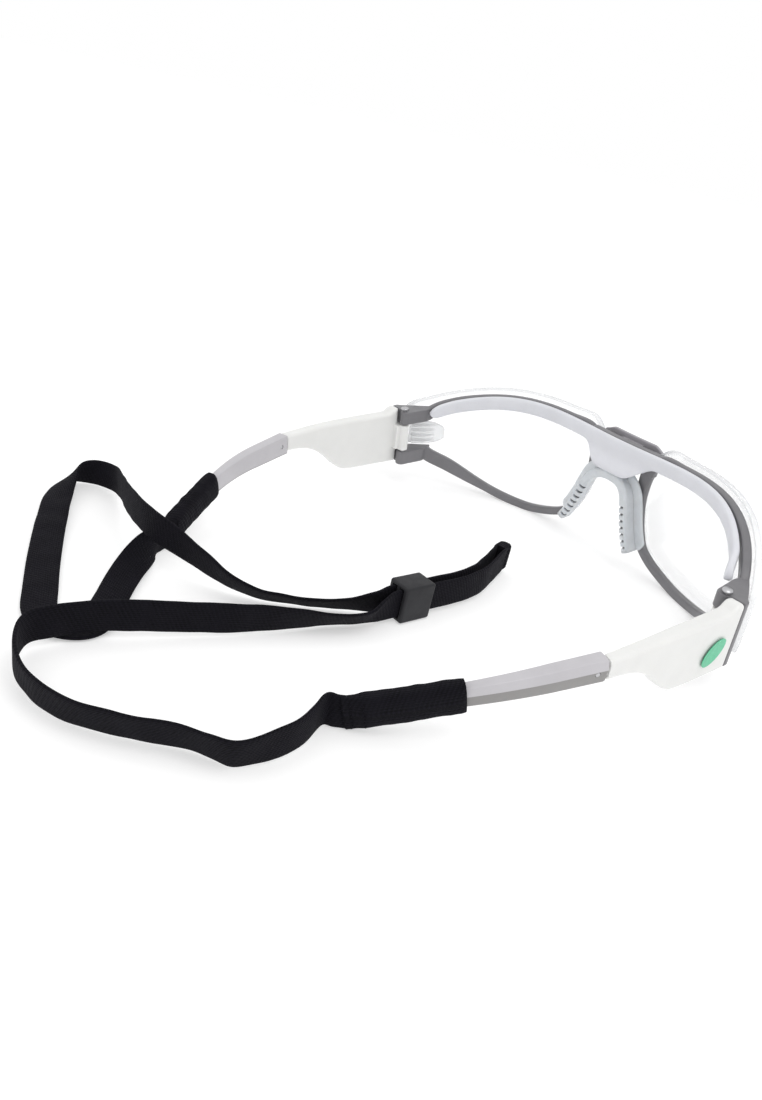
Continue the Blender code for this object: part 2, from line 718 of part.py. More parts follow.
def make_side_mark():
    """A plain printed disc on the outside of the right temple."""
    centre = Vector((-0.0728 - 0.0004, 0.0098, 0.0290))
    disc = cylinder_mesh("disc", 0.5, 1.0, Matrix.Identity(4), 32)
    stretch = Matrix.Diagonal((0.0058, 0.0100, 0.00025, 1.0))
    turn = Matrix.Rotation(math.radians(88.2), 4, "Y") @ Matrix.Rotation(math.radians(-35.0), 4, "Z")
    disc.transform(Matrix.Translation(centre) @ turn @ stretch)
    finish(add_object("side_mark_right", disc, PARTS), "mark_green", hinge_point(-1.0))


# ---------------------------------------------------------------- the strap on the table

def on_table(point):
    """A point of the goggles' own frame, in the strap's frame on the table."""
    return TABLE.matrix_world.inverted() @ GOGGLES.matrix_world @ point


def sleeve_tail(side):
    """Where the strap leaves a sleeve, just clear of it, and a second point straight behind it."""
    end = arm_point(SLEEVE_TO) + arm_direction(SLEEVE_TO) * (GAP + 0.0011)
    places = [on_table(point) for point in mirrored([end, end + arm_direction(SLEEVE_TO) * 0.003], side)]
    return [Vector((place.x, place.y, STRAP_WIDTH / 2 + 0.0002)) for place in places]


def strap_mesh(name, route, count):
    """A flat strap along (x, y, z, turn) points: turn 0 stands it on its edge, and 90 lays it flat."""
    smooth = catmull_rom([[*point] for point in route], 8)
    line = evenly([point[:3] for point in smooth], count)
    reach = [0.0]
    for one, two in zip(smooth, smooth[1:]):
        reach.append(reach[-1] + (Vector(two[:3]) - Vector(one[:3])).length)
    turns = [(distance, point[3]) for distance, point in zip(reach, smooth)]
    rings = []
    for i, place in enumerate(line):
        before, after = line[max(i - 1, 0)], line[min(i + 1, count - 1)]
        forward = (after - before).normalized()
        sideways = forward.cross(Vector((0, 0, 1))).normalized()
        up = sideways.cross(forward)
        turn = Matrix.Rotation(math.radians(along(turns, reach[-1] * i / (count - 1))), 3, forward)
        section = rounded_rectangle(STRAP_THICKNESS, STRAP_WIDTH, 0.0002)
        rings.append([place + turn @ (sideways * a + up * b) for a, b in section])
    return loft(name, rings)


EDGE_Z = SLIDER_CENTRE.z

LEFT_ROUTE = [
    (0.0375, 0.1165, 0.0042, 38), (0.0310, 0.1245, 0.0022, 78), (0.0215, 0.1330, 0.0010, 90),
    (0.0140, 0.1392, 0.0010, 90), (0.0112, 0.1445, 0.0010, 90), (0.0145, 0.1495, 0.0010, 90),
    (0.0215, 0.1505, 0.0010, 90), (0.0320, 0.1465, 0.0010, 90), (0.0460, 0.1405, 0.0011, 90),
    (0.0640, 0.1320, 0.0016, 85), (0.0800, 0.1235, 0.0024, 73), (0.0875, 0.1165, 0.0042, 38),
    (0.0865, 0.1100, 0.0047, 5), (0.0790, 0.1070, 0.0056, 0), (0.0690, 0.1095, 0.0078, 5),
    (0.0580, 0.1130, 0.0100, 3), (0.0450, 0.1160, 0.0122, 0), (0.0340, 0.1160, 0.0126, 0),
    (0.0255, 0.1120, 0.0104, 10), (0.0180, 0.1080, 0.0078, 25), (0.0120, 0.1040, 0.0054, 38),
    (0.0070, 0.0990, 0.0041, 46), (0.0025, 0.0930, 0.0038, 48), (-0.0015, 0.0865, 0.0038, 48),
    (-0.0055, 0.0790, 0.0043, 42), (-0.0083, 0.0730, 0.0053, 20), (-0.00895, 0.0690, EDGE_Z, 0),
    (-0.00895, 0.0620, EDGE_Z, 0), (-0.00895, 0.0530, EDGE_Z, 0), (-0.00895, 0.0440, EDGE_Z, 0),
    (-0.0073, 0.0350, EDGE_Z, 0), (-0.0033, 0.0255, EDGE_Z, 0), (0.0012, 0.0165, EDGE_Z, 0),
]

RIGHT_ROUTE = [
    (-0.0448, 0.1205, 0.0048, 0), (-0.0460, 0.1292, 0.0047, -8), (-0.0452, 0.1368, 0.0046, -15),
    (-0.0408, 0.1402, 0.0045, -22), (-0.0358, 0.1440, 0.0045, -22), (-0.0300, 0.1508, 0.0045, -22),
    (-0.0228, 0.1580, 0.0045, -20), (-0.0145, 0.1628, 0.0046, -15), (-0.0050, 0.1642, 0.0048, -8),
    (0.0032, 0.1626, 0.0054, 0), (0.0086, 0.1580, 0.0060, 0), (0.0088, 0.1515, 0.0062, 0),
    (0.0078, 0.1430, 0.0062, 0), (0.0050, 0.1340, 0.0061, 0), (0.0010, 0.1225, 0.0055, 0),
    (-0.0028, 0.1110, 0.0050, 5), (-0.0066, 0.1000, 0.0048, 18), (-0.0102, 0.0890, 0.0043, 40),
    (-0.0128, 0.0800, 0.0043, 40), (-0.0126, 0.0740, 0.0052, 16), (-0.01185, 0.0690, EDGE_Z, 0),
    (-0.01185, 0.0620, EDGE_Z, 0), (-0.01185, 0.0530, EDGE_Z, 0), (-0.01185, 0.0440, EDGE_Z, 0),
    (-0.0102, 0.0340, EDGE_Z, 0), (-0.0062, 0.0245, EDGE_Z, 0), (-0.0018, 0.0155, EDGE_Z, 0),
]


def make_strap():
    bpy.context.view_layer.update()
    for name, route, count in (("left", LEFT_ROUTE, 100), ("right", RIGHT_ROUTE, 76)):
        start = [(*point, 0.0) for point in sleeve_tail(SIDES[name])]
        mesh = strap_mesh("strap_" + name, start + route, count)
        finish(add_object("strap_" + name, mesh, PARTS, TABLE), "strap_black")


def make_strap_end():
    """The sewn fold that joins the strap's two layers at the end of the tail."""
    one, two = Vector(LEFT_ROUTE[-1][:3]), Vector(RIGHT_ROUTE[-1][:3])
    across = (one - two).normalized()
    along_tail = Vector((across.y, -across.x, 0.0))
    middle = (one + two) / 2 + along_tail * (GAP + 0.0016)
    matrix = Matrix((along_tail, across, Vector((0, 0, 1)))).transposed().to_4x4()
    fold = box_mesh("fold", (0.0032, (one - two).length + STRAP_THICKNESS, STRAP_WIDTH),
                    Matrix.Translation(middle) @ matrix)
    made = add_object("strap_end_fold", fold, PARTS, TABLE)
    rounded = made.modifiers.new("rounded", "BEVEL")
    rounded.width = 0.0006
    rounded.segments = 2
    finish(made, "strap_black")


def make_strap_slider():
    slider = add_object("strap_slider", box_mesh("slider", SLIDER_SIZE, Matrix.Translation(SLIDER_CENTRE)),
                        PARTS, TABLE)
    rounded = slider.modifiers.new("rounded", "BEVEL")
    rounded.width = 0.0006
    rounded.segments = 2
    for name, side in SIDES.items():
        centre = SLIDER_CENTRE + Vector((SLIDER_SLOT_OFFSET * side, 0, 0))
        slot = box_mesh("slot", (SLIDER_SLOT_WIDTH, 0.020, STRAP_WIDTH + 2 * GAP), Matrix.Translation(centre))
        cutter = helper("slider_slot_" + name, slot)
        cutter.parent = TABLE
        combine(slider, cutter, "DIFFERENCE")
    finish(slider, "slider_black", SLIDER_CENTRE)


make_frame_front()
make_bridge_cover()
make_lenses()
make_brow_pad()
make_nose_piece()
make_lens_clips()
make_hinge_pins()
make_temple_housings()
make_temple_arms()
make_strap_sleeves()
make_side_mark()
make_strap()
make_strap_end()
make_strap_slider()
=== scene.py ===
"""Sports protective goggles on a white table: the finished look of every piece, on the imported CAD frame.

Metres. Most shapes are drawn in the goggles' own frame, where they are level, the wearer looks
along -Y, the wearer's left is +X and the hinge pins stand on Y = 0. AT_REST then leans them back
onto the table. The strap and its slider are drawn on the table, at Z = 0, and ON_TABLE only moves
them along Y.
"""

import math

import bmesh
import bpy
from mathutils import Matrix, Vector, noise


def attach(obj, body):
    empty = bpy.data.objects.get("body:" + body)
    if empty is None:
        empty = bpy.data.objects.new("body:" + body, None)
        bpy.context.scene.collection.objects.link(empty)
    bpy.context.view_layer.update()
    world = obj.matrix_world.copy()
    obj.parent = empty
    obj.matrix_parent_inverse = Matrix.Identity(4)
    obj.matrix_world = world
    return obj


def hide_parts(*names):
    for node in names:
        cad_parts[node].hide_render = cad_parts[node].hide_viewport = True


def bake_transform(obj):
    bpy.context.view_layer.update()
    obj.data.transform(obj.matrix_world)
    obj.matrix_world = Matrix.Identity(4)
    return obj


SIDES = {"left": 1.0, "right": -1.0}

# How the goggles rest on the table.
REST_PITCH = math.radians(7.74)
REST_CENTRE_Y = 0.0350
REST_FLOOR_Z = 0.01190

# The wrap of the front.
FRONT_Y = -0.0413
WRAP_DEPTH = 0.0366
HALF_WIDTH = 0.07065
WRAP_POWER = 3.48

# The rim round each eye.
BROW_BAR_HEIGHT = 0.0044
LOWER_RIM_HEIGHT = 0.0028
RIM_FRONT = 0.0002
RIM_BACK = 0.0028
RIM_POINTS = 220

# The end pieces and the hinges.
END_TOP_Z = 0.0406
END_BOTTOM_Z = 0.0203
KNUCKLE_TOP_Z = 0.0360
KNUCKLE_BOTTOM_Z = 0.0254
END_PLATE_INSIDE_X = 0.0714
END_PLATE_OUTSIDE_X = 0.0728
END_BACK_Y = 0.0006
PIN_X = 0.0660
PIN_MIDDLE_Z = 0.0305
PIN_RADIUS = 0.0008
PIN_HEAD_RADIUS = 0.0014
EAR_RADIUS = 0.0018
EAR_RELIEF = 0.0008
HINGE_CANT = math.radians(4.0)
PIN_BOTTOM_Z = 0.0206
PIN_TOP_Z = 0.0412
HEAD_SEAT = (0.0404, 0.0414)
GAP = 0.0003

# The lenses.
LENS_BACK = -0.0001
LENS_THICKNESS = 0.0018
LENS_POINTS = 200

# The clips at the lens corners.
CLIP_FROM_X = 0.0628
CLIP_TO_X = 0.0700
CLIP_MIDDLE_Z = 0.0307
FINGER_FROM_X = 0.0650
FINGER_TO_X = 0.0697
FINGER_LOW_Z = 0.0277
FINGER_PITCH = 0.0020
FINGERS = 4

# The brow pad. Its stem reaches down to rest on the saddle.
PAD_HALF_LENGTH = 0.0668
PAD_BAND = 0.0045
PAD_STEM = 0.0058
PAD_THICKNESS = 0.0023
PAD_MIDDLE = 0.00165
PAD_ROUND_END = 0.0024

# The nose piece.
NOSE_FRONT = RIM_BACK + 0.0006
NOSE_POINTS = 420
SLIT_LAST = 6
SLIT_PITCH = 0.0023
SLIT_WIDTH = 0.0008
SLIT_DEPTH = 0.0012
SLIT_FROM_TIP = 0.0020
FLANGE_FROM_X = 0.0044
FLANGE_WIDTH = 0.0050
FLANGE_THICKNESS = 0.0010
FLANGE_OUT = 0.0021

# The temples.
HOUSING_FRONT_Y = 0.0012
HOUSING_BACK_Y = 0.0500
MOUTH = Vector((0.0682, 0.0500, 0.0377))
TONGUE_LENGTH = 0.0135
TONGUE_INSIDE = 0.003
TONGUE_WIDTH = 0.0020
TONGUE_HEIGHT = 0.0036
ARM_TURN = math.radians(16.0)
ARM_FALL = math.radians(2.0)
ARM_LENGTH = 0.0580
ARM_STRAIGHT = 0.0142
ARM_BORE_LENGTH = 0.0140
ARM_TRAVEL = 0.0080
STOP_PIN_FROM_FRONT = 0.0030
STOP_PIN_RADIUS = 0.0006
STOP_PIN_HALF = 0.00205
SLEEVE_FROM = 0.0347
SLEEVE_TO = 0.0617
SLEEVE_HEIGHT = 0.0088
SLEEVE_THICKNESS = 0.0050
SLEEVE_STEPS = 110
SLEEVE_SEAMS = (0.0018, 0.0046)
WRINKLE = 0.00022
MARK_CENTRE = Vector((-0.0732, 0.0098, 0.0290))
MARK_SIZE = (0.0068, 0.0096, 0.00025)
MARK_TURN = math.radians(-35.0)
MARK_LEAN = math.radians(88.2)

# The strap and its slider.
STRAP_WIDTH = 0.0084
STRAP_THICKNESS = 0.0011
STRAP_POINTS = {"left": 620, "right": 480}
RIPPLE = 0.00028
END_FOLD_LENGTH = 0.0048
END_FOLD_RINGS = 25
END_FOLD_SEAMS = (-0.0014, 0.0)
SEAM_HALF = 0.0034
SEAM_STITCHES = 7
THREAD_RADIUS = 0.00016
SLIDER_SIZE = Vector((0.0074, 0.0105, 0.0108))
SLIDER_CENTRE = Vector((-0.0104, 0.0620, 0.0056))
SLIDER_SLOT_OFFSET = 0.00145
SLIDER_SLOT_WIDTH = 0.0019

# How finely ends are rounded over and the moulded pieces are fused.
END_STEPS = 4
FRONT_VOXEL = 0.00022
HOUSING_VOXEL = 0.00022
CLIP_VOXEL = 0.00014

# The camera, in the goggles' own frame.
CAMERA_AZIMUTH = math.radians(228.807)
CAMERA_ELEVATION = math.radians(30.822)
CAMERA_ROLL = math.radians(6.380)
CAMERA_TARGET = Vector((0.056705, 0.012632, -0.008685))
CAMERA_DISTANCE = 0.329983
CAMERA_LENS = 29.147

AT_REST = Matrix.Translation((0, -REST_CENTRE_Y, -REST_FLOOR_Z)) @ Matrix.Rotation(-REST_PITCH, 4, "X")
ON_TABLE = Matrix.Translation((0, -REST_CENTRE_Y, 0))

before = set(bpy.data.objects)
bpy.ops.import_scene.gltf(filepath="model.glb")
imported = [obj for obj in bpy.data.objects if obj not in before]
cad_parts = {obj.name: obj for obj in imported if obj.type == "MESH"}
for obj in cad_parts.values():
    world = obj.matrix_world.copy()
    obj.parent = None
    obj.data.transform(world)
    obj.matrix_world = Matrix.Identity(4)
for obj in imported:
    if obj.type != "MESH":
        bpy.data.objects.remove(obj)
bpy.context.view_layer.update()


# ---------------------------------------------------------------- numbers and lines

def blended(low, high, value, start, end):
    """low before start, high after end, and a smooth step between."""
    t = min(max((value - start) / (end - start), 0.0), 1.0)
    return low + (high - low) * t * t * (3 - 2 * t)


def spaced(start, end, steps):
    """Values from start to end in equal steps, both ends included."""
    return [start + (end - start) * k / steps for k in range(steps + 1)]


def along(stations, value):
    """The value between listed (place, value) stations, in straight steps."""
    for (a, one), (b, two) in zip(stations, stations[1:]):
        if value <= b:
            return one + (two - one) * max(value - a, 0.0) / (b - a)
    return stations[-1][1]


def smooth_along(stations, value):
    """The value between listed (place, value) stations, on a smooth curve."""
    last = len(stations) - 1
    k = 0
    while k < last - 1 and value > stations[k + 1][0]:
        k += 1
    (a, one), (b, two) = stations[k], stations[k + 1]
    before, after = stations[max(k - 1, 0)], stations[min(k + 2, last)]
    slope_one = (two - before[1]) / (b - before[0])
    slope_two = (after[1] - one) / (after[0] - a)
    t = min(max((value - a) / (b - a), 0.0), 1.0)
    h = b - a
    return (one * (1 + 2 * t) * (1 - t) ** 2 + slope_one * h * t * (1 - t) ** 2
            + two * t * t * (3 - 2 * t) + slope_two * h * t * t * (t - 1))


def catmull_rom(points, steps, closed=False):
    """A smooth curve through the points, as lists of numbers of any length."""
    count = len(points)
    spans = count if closed else count - 1
    made = []
    for i in range(spans):
        if closed:
            four = [points[(i + k - 1) % count] for k in range(4)]
        else:
            four = [points[min(max(i + k - 1, 0), count - 1)] for k in range(4)]
        for t in (step / steps for step in range(steps)):
            made.append([
                0.5 * (2 * b + (c - a) * t + (2 * a - 5 * b + 4 * c - d) * t * t
                       + (3 * b - a - 3 * c + d) * t ** 3)
                for a, b, c, d in zip(*four)
            ])
    if not closed:
        made.append(list(points[-1]))
    return made


def evenly(points, count, closed=False):
    """The same line, as count points at equal distances."""
    line = [Vector(point) for point in points] + ([Vector(points[0])] if closed else [])
    reach = [0.0]
    for one, two in zip(line, line[1:]):
        reach.append(reach[-1] + (two - one).length)
    steps = count if closed else count - 1
    made, k = [], 0
    for i in range(count):
        wanted = reach[-1] * i / steps
        while k < len(reach) - 2 and reach[k + 1] < wanted:
            k += 1
        made.append(line[k].lerp(line[k + 1], (wanted - reach[k]) / (reach[k + 1] - reach[k])))
    return made


def centre_of(points):
    return sum(points, Vector()) / len(points)


# ---------------------------------------------------------------- sections

def rounded_section(width, height, radius, steps=4):
    """Points round a rectangle with round corners, centred on (0, 0)."""
    a, b = width / 2 - radius, height / 2 - radius
    points = []
    for quarter, (x, y) in enumerate(((a, b), (-a, b), (-a, -b), (a, -b))):
        for step in range(steps + 1):
            angle = math.pi / 2 * (quarter + step / steps)
            points.append((x + radius * math.cos(angle), y + radius * math.sin(angle)))
    return points


def soft_section(width, height, squareness, count=32):
    """Points round a soft oval: squareness 1 is an ellipse, and less is squarer."""
    points = []
    for k in range(count):
        c, s = math.cos(2 * math.pi * k / count), math.sin(2 * math.pi * k / count)
        points.append((
            width / 2 * math.copysign(abs(c) ** squareness, c),
            height / 2 * math.copysign(abs(s) ** squareness, s),
        ))
    return points


def round_ends(rings, radius, steps=END_STEPS):
    """Draws in both ends of a tube's rings, so that the ends are rounded over."""
    made = [list(ring) for ring in rings]
    for end, inner in ((0, 1), (-1, -2)):
        ring = rings[end]
        centre = centre_of(ring)
        out = (centre - centre_of(rings[inner])).normalized()
        extra = []
        for step in range(steps + 1):
            angle = math.pi / 2 * step / steps
            shift = out * radius * (math.sin(angle) - 1)
            shrink = radius * (1 - math.cos(angle))
            extra.append([point + shift + (centre - point).normalized() * shrink for point in ring])
        made = extra[::-1] + made[1:] if end == 0 else made[:-1] + extra
    return made


# ---------------------------------------------------------------- meshes and objects

def mesh_of(name, bm):
    bmesh.ops.recalc_face_normals(bm, faces=bm.faces)
    mesh = bpy.data.meshes.new(name)
    bm.to_mesh(mesh)
    bm.free()
    return mesh


def loft(name, rings, closed=False):
    """A skin through equal rings of points: a tube with closed ends, or a ring when closed."""
    bm = bmesh.new()
    loops = [[bm.verts.new(point) for point in ring] for ring in rings]
    following = loops[1:] + loops[:1] if closed else loops[1:]
    for one, two in zip(loops, following):
        for k in range(len(one)):
            after = (k + 1) % len(one)
            bm.faces.new((one[k], one[after], two[after], two[k]))
    if not closed:
        bm.faces.new(loops[0])
        bm.faces.new(loops[-1])
    return mesh_of(name, bm)


def box_mesh(name, size, matrix, bevel=0.0, segments=3):
    bm = bmesh.new()
    bmesh.ops.create_cube(bm, size=1.0, matrix=Matrix.Diagonal((*size, 1.0)))
    if bevel:
        bmesh.ops.bevel(
            bm, geom=bm.edges[:], offset=bevel, segments=segments, profile=0.5, affect="EDGES"
        )
    bm.transform(matrix)
    return mesh_of(name, bm)


def box_between(name, low, high, bevel=0.0):
    low, high = Vector(low), Vector(high)
    return box_mesh(name, high - low, Matrix.Translation((low + high) / 2), bevel)


def turned(name, profile, matrix, segments=32):
    """A solid of revolution about local Z from (radius, z) points, closed flat at both ends."""
    angles = [2 * math.pi * k / segments for k in range(segments)]
    return loft(name, [
        [matrix @ Vector((radius * math.cos(angle), radius * math.sin(angle), z)) for angle in angles]
        for radius, z in profile
    ])


def cylinder_mesh(name, radius, length, matrix, segments=48):
    return turned(name, [(radius, -length / 2), (radius, length / 2)], matrix, segments)


def prism(name, outline, low_z, high_z):
    return loft(name, [[Vector((x, y, z)) for x, y in outline] for z in (low_z, high_z)])


def joined(name, meshes):
    """One mesh with all of these shells."""
    bm = bmesh.new()
    for mesh in meshes:
        bm.from_mesh(mesh)
        bpy.data.meshes.remove(mesh)
    made = bpy.data.meshes.new(name)
    bm.to_mesh(made)
    bm.free()
    return made


def mirrored_mesh(mesh, side):
    """The mesh as drawn for the wearer's left, turned into the right one where side is -1."""
    if side < 0:
        mesh.transform(Matrix.Diagonal((-1.0, 1.0, 1.0, 1.0)))
        mesh.flip_normals()
    return mesh


def carved(name, mesh, cuts=(), unions=(), voxel=None, smoothing=0):
    """The mesh after exact unions and cuts, then fused into one moulded skin with small fillets."""
    scratch = [bpy.data.objects.new(name, mesh)]
    target = scratch[0]
    for operation, others in (("UNION", unions), ("DIFFERENCE", cuts)):
        for other in others:
            tool = bpy.data.objects.new("tool", other)
            scratch.append(tool)
            modifier = target.modifiers.new("boolean", "BOOLEAN")
            modifier.operation = operation
            modifier.solver = "EXACT"
            modifier.object = tool
    if voxel:
        fused = target.modifiers.new("fused", "REMESH")
        fused.mode = "VOXEL"
        fused.voxel_size = voxel
    if smoothing:
        filleted = target.modifiers.new("filleted", "SMOOTH")
        filleted.factor = 0.5
        filleted.iterations = smoothing
    for item in scratch:
        bpy.context.scene.collection.objects.link(item)
    bpy.context.view_layer.update()
    shape = target.evaluated_get(bpy.context.evaluated_depsgraph_get())
    made = bpy.data.meshes.new_from_object(shape)
    for item in scratch:
        bpy.data.objects.remove(item, do_unlink=True)
    return made


def add(name, mesh, material, body, replaces, place=AT_REST, smooth_angle=40.0):
    """A finished piece that rides on a body and stands for its CAD node."""
    mesh.name = name
    mesh.transform(place)
    mesh.materials.clear()
    mesh.materials.append(material)
    mesh.shade_smooth()
    if smooth_angle:
        mesh.set_sharp_from_angle(angle=math.radians(smooth_angle))
    made = bpy.data.objects.new(name, mesh)
    bpy.context.scene.collection.objects.link(made)
    if body:
        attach(made, body)
    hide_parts(*replaces)
    return made


# ---------------------------------------------------------------- materials

class Nodes:
    """Small helper that adds and joins shader nodes."""

    def __init__(self, name):
        self.material = bpy.data.materials.new(name)
        self.material.use_nodes = True
        self.tree = self.material.node_tree
        self.shader = self.tree.nodes["Principled BSDF"]

    def add(self, kind, settings=(), **inputs):
        node = self.tree.nodes.new("ShaderNode" + kind)
        for key, value in dict(settings).items():
            setattr(node, key, value)
        for key, value in inputs.items():
            self.put(node, key.replace("_", " "), value)
        return node

    def put(self, node, key, value):
        socket = node.inputs[int(key)] if key.isdigit() else node.inputs[key]
        if isinstance(value, bpy.types.NodeSocket):
            self.tree.links.new(value, socket)
        else:
            socket.default_value = value

    def set(self, **inputs):
        for key, value in inputs.items():
            self.put(self.shader, key.replace("_", " "), value)

    def place(self):
        return self.add("TexCoord").outputs["Object"]

    def attribute(self, name):
        return self.add("Attribute", {"attribute_name": name}).outputs["Fac"]

    def noise(self, scale, detail=3.0, roughness=0.55, vector=None):
        node = self.add("TexNoise", Scale=scale, Detail=detail, Roughness=roughness)
        self.put(node, "Vector", vector or self.place())
        return node.outputs["Fac"]

    def ranged(self, value, low, high, start=0.3, end=0.7):
        node = self.add("MapRange", Value=value)
        spans = {"From Min": start, "From Max": end, "To Min": low, "To Max": high}
        for key, number in spans.items():
            self.put(node, key, number)
        return node.outputs["Result"]

    def mixed(self, factor, one, two):
        node = self.add("Mix", {"data_type": "RGBA"})
        self.tree.links.new(factor, node.inputs[0])
        for socket, value in ((node.inputs[6], one), (node.inputs[7], two)):
            if isinstance(value, bpy.types.NodeSocket):
                self.tree.links.new(value, socket)
            else:
                socket.default_value = (*value, 1.0)
        return node.outputs[2]

    def math(self, operation, one, two=0.0):
        node = self.add("Math", {"operation": operation})
        self.put(node, "0", one)
        self.put(node, "1", two)
        return node.outputs[0]

    def bumped(self, height, distance, strength=1.0, normal=None):
        node = self.add("Bump", Height=height, Distance=distance, Strength=strength)
        if normal:
            self.put(node, "Normal", normal)
        return node.outputs["Normal"]


def shade(colour, factor):
    return tuple(min(channel * factor, 1.0) for channel in colour)


def moulded(name, colour, roughness, grain=0.00002, mottle=0.06, under=None, **settings):
    """Moulded plastic: a fine grain, faint flow clouds in the colour and slightly uneven gloss."""
    nodes = Nodes(name)
    clouds = nodes.ranged(nodes.noise(140.0, 4.0), 0.0, 1.0)
    flow = nodes.mixed(clouds, shade(colour, 1 - mottle), shade(colour, 1 + mottle))
    specks = nodes.ranged(nodes.noise(2600.0, 2.0), 0.0, 0.35, 0.62, 0.75)
    finish = nodes.mixed(specks, flow, shade(colour, 0.86))
    # painted shade: faces marked "under" take the darker under colour, standing in for the shade below the
    # part
    if under:
        finish = nodes.mixed(nodes.attribute("under"), finish, under)
    nodes.set(Base_Color=finish)
    nodes.set(Roughness=nodes.ranged(nodes.noise(320.0, 3.0), roughness - 0.06, roughness + 0.07))
    fine = nodes.bumped(nodes.noise(5200.0, 2.0), grain)
    nodes.set(Normal=nodes.bumped(nodes.noise(260.0, 2.0), grain * 2, 0.5, fine))
    nodes.set(**settings)
    return nodes.material


def clear_plastic(name, colour, alpha, roughness, transmission, edge=None):
    """Polished polycarbonate with a hard coat and a faint haze. Edges, marked "edge", get a painted shade:
    a greyer, less clear band standing in for the dark lines that light makes at the lens's edge.
    """
    nodes = Nodes(name)
    haze = nodes.noise(90.0, 5.0)
    nodes.set(IOR=1.56, Coat_Weight=0.5, Coat_Roughness=0.03)
    if edge:
        # painted shade: the edge band turns greyer and less clear
        edge_shade_mask = nodes.attribute("edge")
        nodes.set(Base_Color=nodes.mixed(edge_shade_mask, colour, edge))
        nodes.set(Alpha=nodes.ranged(edge_shade_mask, alpha, 0.62, 0.0, 1.0))
        nodes.set(Transmission_Weight=nodes.ranged(edge_shade_mask, transmission, 0.35, 0.0, 1.0))
    else:
        nodes.set(Base_Color=nodes.mixed(haze, shade(colour, 0.97), colour))
        nodes.set(Alpha=alpha, Transmission_Weight=transmission)
    nodes.set(Roughness=nodes.ranged(haze, roughness, roughness + 0.05))
    nodes.set(Normal=nodes.bumped(nodes.noise(60.0, 1.0), 0.000004))
    return nodes.material


def webbing(name, colour, thread, sheen):
    """Woven polyester webbing, from UV in millimetres: U along the strap and V across it."""
    nodes = Nodes(name)
    split = nodes.add("SeparateXYZ")
    nodes.put(split, "Vector", nodes.add("UVMap", {"uv_map": "weave"}).outputs["UV"])
    u, v = split.outputs["X"], split.outputs["Y"]
    rows = nodes.math("FLOOR", nodes.math("DIVIDE", v, thread))
    shift = nodes.math("MULTIPLY", rows, thread * 0.5)
    warp, weft = (
        nodes.math("SINE", nodes.math("MULTIPLY", line, 2 * math.pi / pitch))
        for line, pitch in ((nodes.math("ADD", u, shift), thread * 2), (v, thread))
    )
    weave = nodes.math("MULTIPLY", nodes.math("ADD", warp, weft), 0.5)
    fuzz = nodes.noise(2400.0, 4.0)
    wear = nodes.ranged(nodes.noise(210.0, 4.0), 0.0, 1.0, 0.35, 0.7)
    light = nodes.ranged(nodes.math("ADD", weave, fuzz), 0.0, 1.0, 0.1, 1.5)
    dyed = nodes.mixed(light, shade(colour, 0.55), shade(colour, 1.9))
    nodes.set(Base_Color=nodes.mixed(wear, dyed, shade(colour, 1.35)))
    nodes.set(Roughness=nodes.ranged(fuzz, 0.78, 0.98), Specular_IOR_Level=0.12)
    nodes.set(Sheen_Weight=sheen, Sheen_Roughness=0.45, Sheen_Tint=(0.5, 0.5, 0.6, 1.0))
    nodes.set(Normal=nodes.bumped(nodes.math("ADD", weave, fuzz), 0.00012, 0.7))
    return nodes.material


def ribbed_gel(name, colour, slit_shade_colour):
    """Soft translucent elastomer whose cut slits, marked by the attribute "slit", are painted dark: painted
    shade for the shadow inside the slits.
    """
    nodes = Nodes(name)
    clouds = nodes.ranged(nodes.noise(300.0, 3.0), 0.0, 1.0)
    gel = nodes.mixed(clouds, shade(colour, 0.94), shade(colour, 1.05))
    nodes.set(Base_Color=nodes.mixed(nodes.attribute("slit"), gel, slit_shade_colour))
    nodes.set(Roughness=nodes.ranged(nodes.noise(700.0), 0.34, 0.50))
    nodes.set(Normal=nodes.bumped(nodes.noise(4200.0, 2.0), 0.00002))
    nodes.set(Subsurface_Weight=0.35, Subsurface_Radius=(0.8, 0.9, 1.0), Subsurface_Scale=0.0012)
    nodes.set(Transmission_Weight=0.12, IOR=1.45, Coat_Weight=0.15, Coat_Roughness=0.25)
    return nodes.material


def steel(name):
    nodes = Nodes(name)
    turned_marks = nodes.noise(3800.0, 3.0)
    nodes.set(Metallic=1.0, Base_Color=nodes.mixed(turned_marks, (0.42, 0.42, 0.43), (0.58, 0.58, 0.60)))
    nodes.set(Roughness=nodes.ranged(nodes.noise(900.0), 0.24, 0.42))
    nodes.set(Normal=nodes.bumped(turned_marks, 0.00001))
    return nodes.material


def printed(name, colour):
    nodes = Nodes(name)
    ink = nodes.ranged(nodes.noise(1500.0, 4.0), 0.0, 1.0)
    nodes.set(Base_Color=nodes.mixed(ink, shade(colour, 0.88), shade(colour, 1.10)))
    nodes.set(Roughness=nodes.ranged(nodes.noise(800.0), 0.38, 0.55))
    nodes.set(Normal=nodes.bumped(nodes.noise(3000.0), 0.00001))
    return nodes.material


FRAME_GREY = moulded(
    "frame_grey_moulded", (0.150, 0.147, 0.156), 0.40, Coat_Weight=0.15, Coat_Roughness=0.30
)
COVER_GREY = moulded(
    "cover_grey_moulded", (0.30, 0.29, 0.31), 0.38, Coat_Weight=0.15, Coat_Roughness=0.30
)
